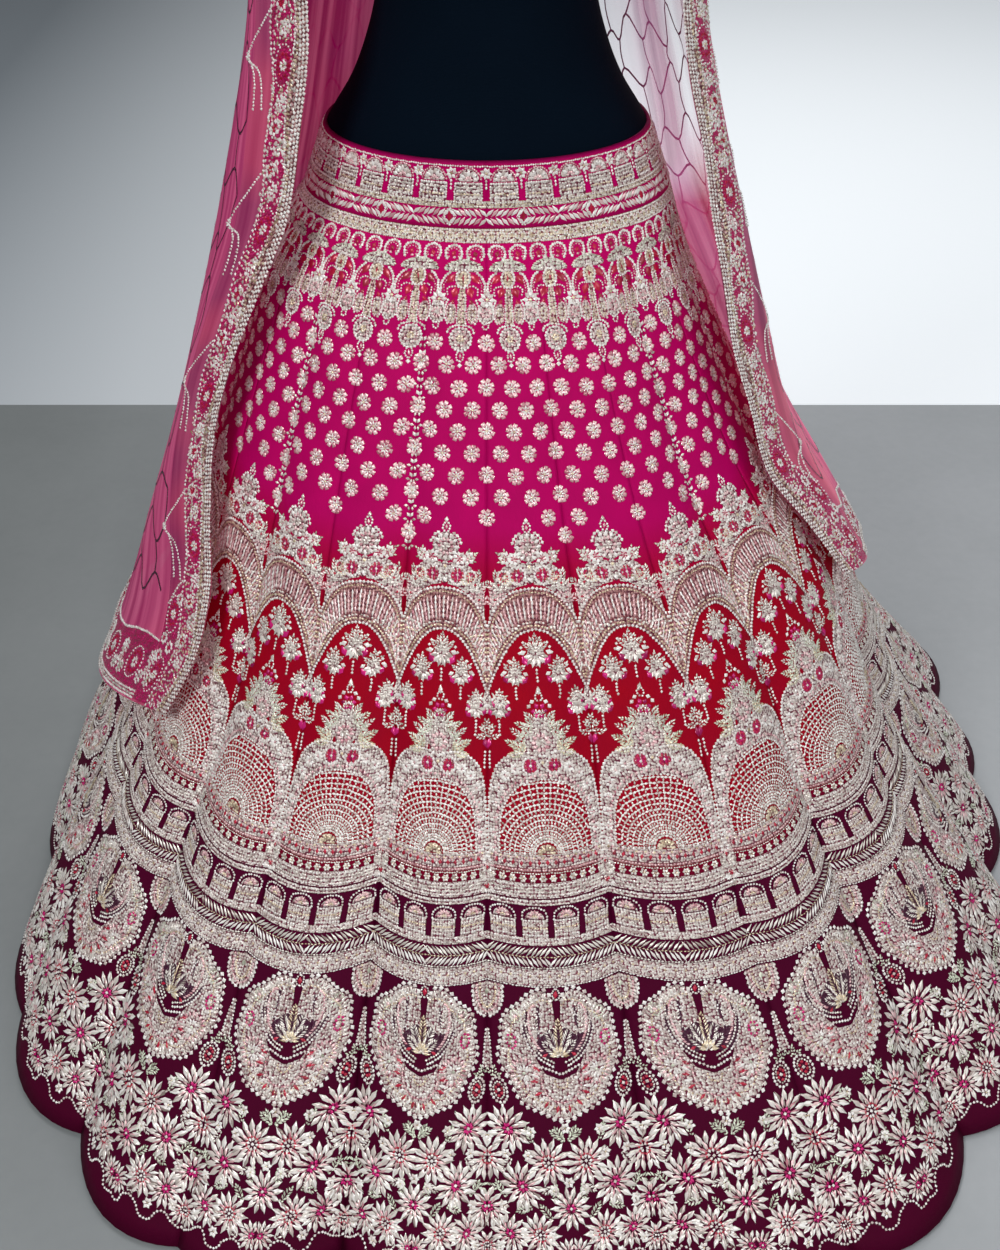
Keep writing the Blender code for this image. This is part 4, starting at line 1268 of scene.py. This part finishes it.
def net_material(name, width, colours, covers, changing, painted_glow):
    """Sheer net, with a colour and a cover by its width, in metres; the light shining through it is
    painted, as an emission.

    changing is how much a darker colour drifts over it in broad patches, and the last argument how
    bright that painted emission is, as if lit from behind.
    """
    m = Nodes(name)
    uv = m.chart_uv()
    axes = m.new("SeparateXYZ", {0: uv}).outputs
    across = m.math("DIVIDE", axes[0], width)
    down = m.math("DIVIDE", axes[1], -DRAPE_LENGTH / 1000)
    cells = m.new("TexVoronoi", {"Vector": uv, "Scale": 620.0, "Randomness": 0.2},
                  feature="DISTANCE_TO_EDGE", voronoi_dimensions="2D").outputs[0]
    thread = m.ramp(cells, ((0.0, (1, 1, 1)), (0.22, (0, 0, 0))))
    folds = m.noise(m.chart_uv((46, 1.6, 1)), 1.0, 3.0)
    drift = m.noise(m.chart_uv((3, 5.5, 1)), 1.0, 1.0)
    dusk = m.ramp(drift, ((0.44, (0, 0, 0)), (0.52, (1, 1, 1))))
    dusk = m.math("MULTIPLY", dusk, changing)
    colour = m.mixed(dusk, m.ramp(across, colours), (0.22, 0.0, 0.075))
    pleat = m.ramp(folds, ((0.36, (0, 0, 0)), (0.62, (1, 1, 1))))
    cover = m.ramp(across, [(place, (c, c, c)) for place, c in covers])
    cover = m.new("SeparateColor", {0: cover}).outputs[0]
    low = m.new("MapRange", {0: down, 1: 0.44, 2: 0.56, 3: 0.0, 4: 0.90}).outputs[0]
    sunk = m.new("MapRange", {0: m.math("SUBTRACT", low, cover), 1: 0.0, 2: 0.5}).outputs[0]
    colour = m.mixed(sunk, colour, (0.52, 0.05, 0.15))
    cover = m.math("MAXIMUM", cover, low)
    # Painted highlight: the crests of the pleats lighter and pinker
    colour = m.mixed(m.math("MULTIPLY", pleat, 0.22), colour, (0.78, 0.22, 0.36))
    # Painted shadow: darker between the pleats
    between = m.math("MULTIPLY", m.math("SUBTRACT", 1.0, pleat), 0.35)
    colour = m.mixed(between, colour, (0.13, 0.0, 0.045))
    thin = m.math("MULTIPLY_ADD", m.math("SUBTRACT", 1.0, cover), -0.5, -0.04)
    cover = m.math("MULTIPLY", cover, m.math("MULTIPLY_ADD", pleat, thin, 1.06))
    cover = m.math("ADD", cover, m.math("MULTIPLY", thread, 0.08))
    m.set(Base_Color=colour, Roughness=0.55, Alpha=m.math("MINIMUM", cover, 0.98))
    # Painted light: the net glows in its own colour, for the light that shines through it
    m.set(Emission_Color=colour, Emission_Strength=painted_glow)
    return m.material


def jersey_material():
    m = Nodes("form_jersey")
    at = m.new("TexCoord").outputs["Object"]
    knit = m.new("TexWave", {"Vector": at, "Scale": 260.0, "Distortion": 1.0}, bands_direction="Z")
    colour = m.mixed(m.noise(at, 6.0, 3.0), (0.0006, 0.0028, 0.0070), (0.0012, 0.0056, 0.0130))
    m.set(Base_Color=colour, Roughness=0.85, Specular_IOR_Level=0.05)
    m.set(Normal=m.bump(knit.outputs[1], 0.25, 0.0004))
    return m.material


def metal_material():
    m = Nodes("brushed_metal")
    at = m.new("TexCoord").outputs["Object"]
    brushed = m.noise(m.new("Mapping", {0: at, "Scale": (400, 400, 8)}).outputs[0], 1.0, 2.0)
    m.set(Base_Color=m.mixed(brushed, (0.30, 0.30, 0.31), (0.55, 0.55, 0.56)), Metallic=0.95,
          Roughness=m.math("MULTIPLY_ADD", brushed, 0.2, 0.25))
    return m.material


def floor_material():
    """Grey floor up to the foot of the wall, and a pale wall's colour beyond. Both are darker towards
    the left, as painted shading, and the wall glows as painted light, more towards the right.
    """
    m = Nodes("studio_floor")
    at = m.new("TexCoord").outputs["Object"]
    cloudy = m.noise(at, 2.2, 8.0, Roughness=0.6)
    fine = m.noise(at, 60.0, 4.0)
    ground_and_shade = m.mixed(cloudy, (0.30, 0.32, 0.33), (0.46, 0.48, 0.50))
    ground_and_shade = m.mixed(m.math("MULTIPLY", fine, 0.3), ground_and_shade, (0.52, 0.54, 0.55))
    axes = m.new("SeparateXYZ", {0: at}).outputs
    beyond = m.math("GREATER_THAN", axes[1], WALL_FOOT)
    # Painted shading: floor and wall darker towards the left
    lit = m.new("MapRange", {0: axes[0], 1: -1.5, 2: 0.6, 3: 0.0, 4: 1.0}).outputs[0]
    shaded = m.mixed(cloudy, (0.080, 0.092, 0.088), (0.145, 0.163, 0.155))
    ground_and_shade = m.mixed(lit, shaded, ground_and_shade)
    wall = m.mixed(lit, (0.23, 0.26, 0.285), (0.88, 0.92, 0.94))
    m.set(Base_Color=m.mixed(beyond, ground_and_shade, wall), Roughness=0.7)
    # Painted light: the wall glows, brighter towards the right
    painted_glow = m.math("MULTIPLY", beyond, m.math("MULTIPLY_ADD", lit, 0.235, 0.02))
    m.set(Emission_Color=DAYLIGHT, Emission_Strength=painted_glow)
    m.set(Normal=m.bump(fine, 0.15, 0.002))
    return m.material


def make_stage():
    mesh = bpy.data.meshes.new("floor")
    left, near, right, far = FLOOR
    corners = [(left, near, 0), (right, near, 0), (right, far, 0), (left, far, 0)]
    mesh.from_pydata(corners, [], [(0, 1, 2, 3)])
    floor = new_object("floor", mesh, [floor_material()])
    floor.location.z = -FLOOR_CLEAR
    world = bpy.data.worlds.new("studio")
    world.use_nodes = True
    background = world.node_tree.nodes["Background"]
    background.inputs[0].default_value = DAYLIGHT
    background.inputs[1].default_value = DAYLIGHT_STRENGTH
    bpy.context.scene.world = world
    for name, place, turn, size, power in LIGHTS:
        light = bpy.data.lights.new(name, "AREA")
        light.size = size
        light.energy = power
        made = bpy.data.objects.new(name, light)
        made.location = place
        made.rotation_euler = [math.radians(t) for t in turn]
        bpy.context.scene.collection.objects.link(made)
    data = bpy.data.cameras.new("camera")
    data.sensor_fit = "VERTICAL"
    data.sensor_height = CAMERA_SENSOR
    data.lens = CAMERA_LENS
    camera = bpy.data.objects.new("camera", data)
    camera.location = CAMERA_PLACE
    camera.rotation_euler = (math.radians(CAMERA_TILT), 0, 0)
    bpy.context.scene.collection.objects.link(camera)
    bpy.context.scene.camera = camera
    bpy.context.scene.view_settings.view_transform = "Standard"


FINISHES = [stone_material(name, *look) for name, look in STONES.items()]
FINISHES += [beadwork_material(name, *look) for name, look in BEADWORKS.items()]
SILK = silk_material()


def make_kalis():
    chart = kali_chart()
    shares = shared_out(border_group())
    across = np.linspace(-1, 1, 13)
    across = across * 0.55 + np.sin(across * UPRIGHT) * 0.45  # closer together at the folds
    share, level = np.meshgrid(across, np.linspace(0, 1, 62))
    s = level * LENGTH
    x = share * half(s)
    for k in range(KALIS):
        name = f"kali_{k + 1:02d}"
        place = kali_place(k)
        mesh = sheet_mesh("cloth", place(x, s), np.stack([x, -s], -1) / 1000)
        cloth = new_object(f"{name}_cloth", mesh, [SILK])
        walled(cloth, SKIRT_WALL)
        drawing = Chart()
        drawing.add(chart)
        drawing.add(shares[k])
        for side, seam in ((-1, k), (1, (k + 1) % KALIS)):
            if SEAM_FOLDS[seam] > ROPE_FOLD:
                drawing.add(seam_beads(side))
        beads = embroidery(f"{name}_embroidery", drawing, place)
        settled(cloth, "skirt_cloth", name)
        settled(beads, "bead_embroidery")


def make_waistband():
    edge = BAND_CHART / 2

    def place(x, s):
        z = WAIST_TOP - (WAIST_TOP - WAIST_SEAM) * np.clip(s / BAND_TALL, 0, 1)
        return plain_surface(BAND_SECTIONS)((x / BAND_CHART + 0.5) * TURN / BAND_CHARTS, z)

    c = Chart()
    fine = (np.arange(14) + 0.5) * BAND_CHART / 14 - edge
    c.put(fine, 4.8, 2.5, 2.0, 0, PEARL)
    c.disc(0, 19, 10.5, 11.5, SILVER_PATCH, 10, PI, PI)
    c.rays(0, 18.4, 4.0, 10.8, 7, 4.0, PEARL, -PI * 0.94, PI * 0.88)
    c.rays(0, 18.4, 1.0, 5.0, 5, 2.8, PINK, -PI * 0.9, PI * 0.8)
    c.ring(0, 19, 12.2, 12.4, 2.1, PINK, 2.1, -PI * 0.98, PI * 0.96)
    c.rays(edge, 11.5, 1.0, 6.2, 7, 3.6, PEARL)
    c.put(edge, 11.5, 3, 3, 0, GOLD)
    c.put(edge, [18.4, 21.8, 25.2], 3.4, 2.5, UPRIGHT, PEARL)
    c.strip([(-13.4, 20), (13.4, 20)], [(-13.4, 37.8), (13.4, 37.8)], SILVER_PATCH, 4)
    c.put(np.linspace(-12.4, 12.4, 11), 21, 2.8, 2.8, 0, PEARL)
    for side in (-1, 1):
        c.put(side * 12.8, np.arange(24, 37, 2.6), 2.8, 2.4, UPRIGHT, PEARL)
    for row, s in enumerate((24.6, 28.0, 31.4, 34.8)):
        c.put(np.linspace(-9.6, 9.6, 7) + 0.7 * (row % 2), s, 3.1, 2.4, UPRIGHT * (row % 2),
              (SILVER, PEARL, GOLD, PEARL)[row])
    c.strip([(-edge, 37.6), (edge, 37.6)], [(-edge, 44.2), (edge, 44.2)], GOLD_PATCH, 4)
    c.put(fine, 38.9, 2.6, 2.5, 0, PEARL)
    c.put(fine, 42.6, 2.6, 2.5, 0, SILVER)
    whole = Chart()
    for k in range(BAND_CHARTS):
        middle = BAND_CHART * k
        whole.add(c, x=middle)
        way = 1 if k % 2 else -1
        for n, x in enumerate((np.arange(7) + 0.6) * 4.7 - edge):
            for s, lean in ((49.0, 0.78), (57.4, -0.78)):
                tone = PINK if n % 3 == 2 else PEARL
                whole.put(middle + way * x, s, 11.4, 3.6, way * lean, tone)
        if k % 2:
            whole.put(middle - edge, 53.2, 11, 4.6, UPRIGHT, RUBY, 2.0)
            whole.ring(middle - edge, 53.2, 4.2, 8.0, 2.2, PEARL, pitch=2.3)
    beads = embroidery("waistband_embroidery", whole, place)
    columns = KALIS * 6
    angle, level = np.meshgrid(np.arange(columns + 1) * TURN / columns, np.linspace(0, 1, 12))
    x = (angle / TURN * BAND_CHARTS - 0.5) * BAND_CHART
    s = level * BAND_TALL
    mesh = sheet_mesh("waistband", place(x, s), np.stack([x, -s], -1) / 1000)
    cloth = new_object("waistband", mesh, [SILK])
    walled(cloth, BAND_WALL)
    settled(cloth, "waistband_cloth", "lehenga_waistband")
    settled(beads, "bead_embroidery")


def make_form():
    heights = np.linspace(max(FORM_SECTIONS), min(FORM_SECTIONS), 96)
    angle, height = np.meshgrid(np.linspace(0, TURN, 73), heights)
    mesh = sheet_mesh("form_body", form_surface(angle, height))
    net = bmesh.new()
    net.from_mesh(mesh)
    bmesh.ops.remove_doubles(net, verts=net.verts, dist=1e-5)
    bmesh.ops.holes_fill(net, edges=net.edges, sides=0)
    bmesh.ops.recalc_face_normals(net, faces=net.faces)
    net.to_mesh(mesh)
    net.free()
    body = new_object("form_body", mesh, [jersey_material()])
    settled(body, "form_jersey", "form_torso")
    metal = metal_material()
    for name in ("form_pole", "form_base"):
        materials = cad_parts[name].data.materials
        materials.clear()
        materials.append(metal)


def choli_angles(height, facing_front):
    """Angles of a choli panel's inner and outer edges at each height, from its middle."""
    armhole = np.clip((height - ARMHOLE["height"]) / ARMHOLE["tall"], -1, 1)
    reach = ARMHOLE["wide"] * np.sqrt(1 - armhole**2)
    outer = UPRIGHT - reach - ARMHOLE["seam"]
    neck = FRONT_NECK if facing_front else BACK_NECK
    rise = np.clip((height - neck) / (SHOULDER_TOP - neck), 0, 1)
    return NECK_ANGLE * rise**NECK_CURVE, outer


def make_choli():
    levels = np.concatenate([
        np.linspace(SHOULDER_TOP, 1.385, 8), np.linspace(1.38, 1.267, 26),
        np.linspace(1.26, CHOLI_HEM_SIDE, 22),
    ])
    level = levels[:, None]
    for name, arch in (("choli_front", FRONT_HEM_ARCH), ("choli_back", BACK_HEM_ARCH)):
        in_front = name == "choli_front"
        inner, outer = choli_angles(levels, in_front)
        turn = inner[:, None] + (outer - inner)[:, None] * np.linspace(0, 1, 22)
        lift = arch * np.cos(turn) ** HEM_CURVE
        body = (CHOLI_HELD - level) / (CHOLI_HELD - CHOLI_HEM_SIDE)
        height = np.where(level < CHOLI_HELD, level + lift * body, level)
        out = np.full(turn.shape, CHOLI_CLEAR + CHOLI_WALL)
        made = []
        for side in (-1, 1):
            angle = side * turn if in_front else PI - side * turn
            grid = moved_out(form_surface, angle, height, out)
            # The chart stays in the part of the dye that is magenta
            uvs = np.stack([side * turn * CHOLI_ROUND / 1000, (height - CHOLI_CHART_TOP) * 0.2], -1)
            if (side < 0) == in_front:
                grid, uvs = grid[:, ::-1], uvs[:, ::-1]
            made.append(new_object(f"{name}_{side}", sheet_mesh(name, grid, uvs), [SILK]))
        with bpy.context.temp_override(active_object=made[0], selected_editable_objects=made):
            bpy.ops.object.join()
        cloth = made[0]
        cloth.name = name + "_cloth"
        walled(cloth, CHOLI_WALL)
        settled(cloth, "choli_cloth", name)


def drape_place(first, last, width, length):
    """Places a chart between two lines of angles, each a function of the way down."""
    def place(x, s):
        down = np.clip(s / length, 0, 1)
        start, end = first(down), last(down)
        angle = start + (end - start) * x / width
        return drape_surface(angle, drape_height(angle, down))

    return place


def left_inner(down):
    left, _ = drape_edges(down)
    return left - border_turn(left, down)


def right_inner(down):
    _, right = drape_edges(down)
    return right + border_turn(right, down)


def crack_web(width, length):
    """The cells of dark lines all over the dupatta."""
    web = Chart()
    rows, columns = int(length / WEB_DROP), int(width / WEB_PITCH) + 1
    r, c = np.meshgrid(np.arange(rows), np.arange(columns), indexing="ij")
    low = (r + c) % 2 == 0
    x = c * WEB_PITCH + random.uniform(-WEB_JITTER, WEB_JITTER, r.shape)
    s = 26 + r * WEB_DROP + np.where(low, WEB_RISE, -WEB_RISE)
    s = s + random.uniform(-WEB_JITTER, WEB_JITTER, r.shape)
    corners = np.stack([np.clip(x, 0, width), np.clip(s, 0, length)], -1)
    for k in range(rows):
        web.line(smooth(corners[k], (columns - 1) * 4), WEB_LINE, DARK_PATCH)
        for n in range(columns):
            if low[k, n] and k + 1 < rows:
                start, end = corners[k, n], corners[k + 1, n]
                bend = (start + end) / 2 + (random.uniform(-5, 5), 0)
                web.line(smooth([start, bend, end], 6), WEB_LINE, DARK_PATCH)
    return web


def large_flower(c, x, s):
    """A bright oval with a ring of red petals and a heart of pearls."""
    c.disc(x, s, 12.5, 21, RUBY_PATCH, 16)
    c.ring(x, s, 12.8, 21.4, 2.6, PEARL, pitch=4.2)
    c.ring(x, s, 8.2, 12.0, 4.6, RUBY, pitch=5.2)
    c.rays(x, s, 1.2, 6.6, 7, 3.6, PEARL)
    c.put(x, s, 3.2, 3.2, 0, GOLD, 2.4)


def scattered(c, left, right, run, pitch, keep):
    """Beads sewn close together in no order, between two lines of x."""
    x, s = np.meshgrid(np.arange(left, right, pitch), np.arange(0, run, pitch))
    x = x.ravel() + random.uniform(-0.4, 0.4, x.size) * pitch
    s = s.ravel() + random.uniform(-0.4, 0.4, s.size) * pitch
    kept = random.uniform(0, 1, x.size) < keep
    tone = random.choice([PEARL, SILVER, SILVER, GOLD, PINK], x.size)
    turn = random.uniform(0, PI, x.size)
    long = random.uniform(3.4, 6.4, x.size)
    wide = random.uniform(2.6, 3.4, kept.sum())
    c.put(x[kept], s[kept], long[kept], wide, turn[kept], tone[kept])


def front_border(run, phase, slim):
    """The dupatta's upright border: x runs from its inner edge, s down.

    slim is how much of its width the embroidery gives up at the top.
    """
    c = Chart()
    s = np.arange(0, run + 1, 14.0)
    rope = 6 + 1.6 * np.sin(s / 37)
    second = 19 + 4.5 * np.sin((s - phase) / 26.7)
    edge = 49 + 3.5 * np.sin(s / 19) + 2.5 * np.sin(s / 47)
    lines = [np.stack([x, s], 1) for x in (rope, second, edge)]
    c.strip(np.stack([0 * s + 0.5, s], 1), lines[1], PINK_PATCH)
    c.strip(lines[1], lines[2], RUBY_PATCH)
    for aside in (-4.4, -0.2, 4.0):
        c.along(lines[0], 4.0, 4.4, PEARL if aside else SILVER, aside=-aside, long=3.8)
    c.along(lines[1], 3.4, 3.2, PEARL)
    c.along(lines[1], 4.4, 2.8, GOLD, lean=0.8, aside=4.0, long=4.6)
    c.along(lines[2], 4.6, 3.6, PEARL)
    scattered(c, 13, 48, run, 4.3, 0.74)
    for level in np.arange(phase - 2 * BORDER_REPEAT, run + BORDER_REPEAT, BORDER_REPEAT):
        for x, down, r, tone in ((31, 38, 9, PEARL), (37, 62, 9, RUBY), (27, 84, 10, SILVER),
                                 (36, 106, 9, RUBY), (30, 130, 9, PEARL)):
            if 12 < level + down < run - 12:
                c.blossom(x, level + down, r, 0.62, 0.34, tone)
        if 24 < level < run - 24:
            table = c.table()
            away = np.hypot((table[:, 0] - 32) / 15, (table[:, 1] - level) / 24)
            c.stones = [table[(away > 1) | (table[:, 0] < 17)]]
            large_flower(c, 32, level)
        star = level - 18
        if 50 < star < run - 60:
            for arc in (
                [(98, star), (88, star - 12), (72, star - 26), (51, star - 44)],
                [(98, star), (85, star + 12), (79, star + 30), (77, star + 56)],
                [(94, star + 5), (74, star + 16), (66, star + 34), (62, star + 58)],
            ):
                c.curve(arc, 3.1, 2.9, PEARL)
            c.rays(97, star, 0.6, 5.0, 6, 2.6, PEARL)
    corner = run - 150
    c.strip([(50, corner), (50, run - 3)], [(84, corner + 30), (84, run - 3)], RUBY_PATCH, 8)
    c.curve([(50, corner), (64, corner + 6), (84, corner + 30)], 4.0, 3.6, PEARL)
    for x, s in ((68, corner + 40), (66, corner + 112)):
        large_flower(c, x, s)
    for x, down, r in ((76, 68, 8), (60, 78, 9), (77, 88, 8), (58, 22, 8)):
        c.rays(x, corner + down, r * 0.3, r, 8, r * 0.6, PEARL)
        c.put(x, corner + down, r * 0.5, r * 0.5, 0, RUBY)

    def narrowed(x, s):
        given_up = slim * np.clip(1 - s / BORDER_SLIM_RUN, 0, 1)
        return np.where((x > 13) & (x < 56), x - (x - 13) * given_up, x)

    table = c.table()
    table[:, 0] = narrowed(table[:, 0], table[:, 1])
    c.stones = [table]
    for k, (points, tone) in enumerate(c.patches):
        x, s = points[..., 0], points[..., 1]
        c.patches[k] = (np.stack([narrowed(x, s), s], -1), tone)
    return c


def flipped(chart, width):
    """The same drawing with its x turned round."""
    made = Chart()
    table = chart.table().copy()
    table[:, 0] = width - table[:, 0]
    table[:, 5] = PI - table[:, 5]
    made.stones = [table]
    made.patches = [(points[:, ::-1] * (-1, 1) + (width, 0), tone) for points, tone in chart.patches]
    return made


def low_border(width, top, bottom):
    """The dupatta's lower border."""
    c = Chart()
    x = np.arange(0, width + 1, 38.0)
    upper = np.stack([x, top + 4 * np.sin(x / 23)], 1)
    lower = np.stack([x, 0 * x + bottom], 1)
    c.strip(upper, lower, RUBY_PATCH)
    c.strip(lower - (0, 12), lower, PINK_PATCH)
    count = int(width / 84)
    for k in range(count):
        middle = (k + 0.5) * width / count
        for dx, ds, r, tone in ((42, 24, 11, PEARL), (30, 50, 10, SILVER), (54, 50, 10, MINT),
                                (42, 40, 7, PINK)):
            c.blossom(middle + dx, top + ds, r, 0.6, 0.36, tone)
        c.disc(middle, top + 36, 20, 20, RUBY_PATCH, 14)
        c.ring(middle, top + 36, 20, 20, 3.0, PEARL, pitch=4.2)
        c.ring(middle, top + 36, 13, 13, 5.4, RUBY)
        c.rays(middle, top + 36, 1.5, 8.5, 8, 4.2, PEARL)
    c.along(upper, 4.0, 3.8, PEARL)
    for lift, tone in ((2, PEARL), (6, SILVER), (10, PEARL)):
        c.along(lower - (0, lift), 3.8, 4.0, tone)
    return c


def make_dupatta():
    width, run = DRAPE_WIDTH, DRAPE_LENGTH
    place = drape_place(right_inner, lambda d: left_inner(d) + TURN, width, run)
    share, down = np.meshgrid(np.linspace(0, 1, 150), np.linspace(0, 1, 60) ** 1.2)
    x, s = share * width, down * run
    wide_net = net_material("wide_net", width / 1000, (
        (0.0, (0.50, 0.07, 0.11)), (0.10, (0.50, 0.06, 0.15)), (0.15, (0.56, 0.10, 0.30)),
        (0.19, (0.66, 0.14, 0.46)), (0.30, (0.74, 0.34, 0.66)), (0.42, (0.46, 0.06, 0.20)),
        (0.54, (0.26, 0.0, 0.060)), (0.86, (0.26, 0.0, 0.060)), (0.93, (0.36, 0.03, 0.10)),
        (1.0, (0.36, 0.03, 0.10)),
    ), ((0.0, 0.86), (0.08, 0.80), (0.11, 0.45), (0.15, 0.10), (0.18, 0.66), (0.21, 0.60), (0.24, 0.20),
        (0.28, 0.04), (0.38, 0.06), (0.45, 0.5), (0.53, 0.97), (0.86, 0.97), (1.0, 0.90)), 0.5, 0.55)
    edge_net = net_material("edge_net", BORDER_WIDTH, (
        (0.0, (0.48, 0.03, 0.11)), (1.0, (0.48, 0.05, 0.11)),
    ), ((0.0, 0.86), (1.0, 0.88)), 0.9, 0.22)
    mesh = sheet_mesh("dupatta_net", place(x, s), np.stack([x, -s], -1) / 1000)
    net = new_object("dupatta_net", mesh, [wide_net])
    settled(net, "dupatta_net",
            *[f"dupatta_{part}_{side}" for part in ("net", "hem") for side in ("left", "back", "right")])
    web = embroidery("dupatta_web", crack_web(width, run - LACE_ROOM), place)

    pieces = []
    for side, phase, slim, ends in (
        ("left", 91.0, 0.0, (left_inner, lambda d: drape_edges(d)[0])),
        ("right", 123.0, 0.42, (lambda d: drape_edges(d)[1], right_inner)),
    ):
        name = f"dupatta_border_{side}"
        at = drape_place(*ends, BORDER_CHART, run)
        border = front_border(run, phase, slim)
        if side == "left":
            border = flipped(border, BORDER_CHART)
        x, s = np.meshgrid(np.linspace(0, BORDER_CHART, 9), np.linspace(0, run, 90))
        mesh = sheet_mesh("border", at(x, s), np.stack([x, -s], -1) / 1000)
        cloth = new_object(f"{name}_net", mesh, [edge_net])
        beads = embroidery(f"{name}_embroidery", border, at)
        pieces += [settled(cloth, "dupatta_net", name), settled(beads, "bead_embroidery")]

    low = embroidery("dupatta_hem_embroidery", low_border(width, HEM_TOP, HEM_BOTTOM), place)
    extras = [settled(web, "bead_embroidery"), settled(low, "bead_embroidery"), *pieces]


make_stage()
make_form()
make_waistband()
make_kalis()
make_choli()
make_dupatta()
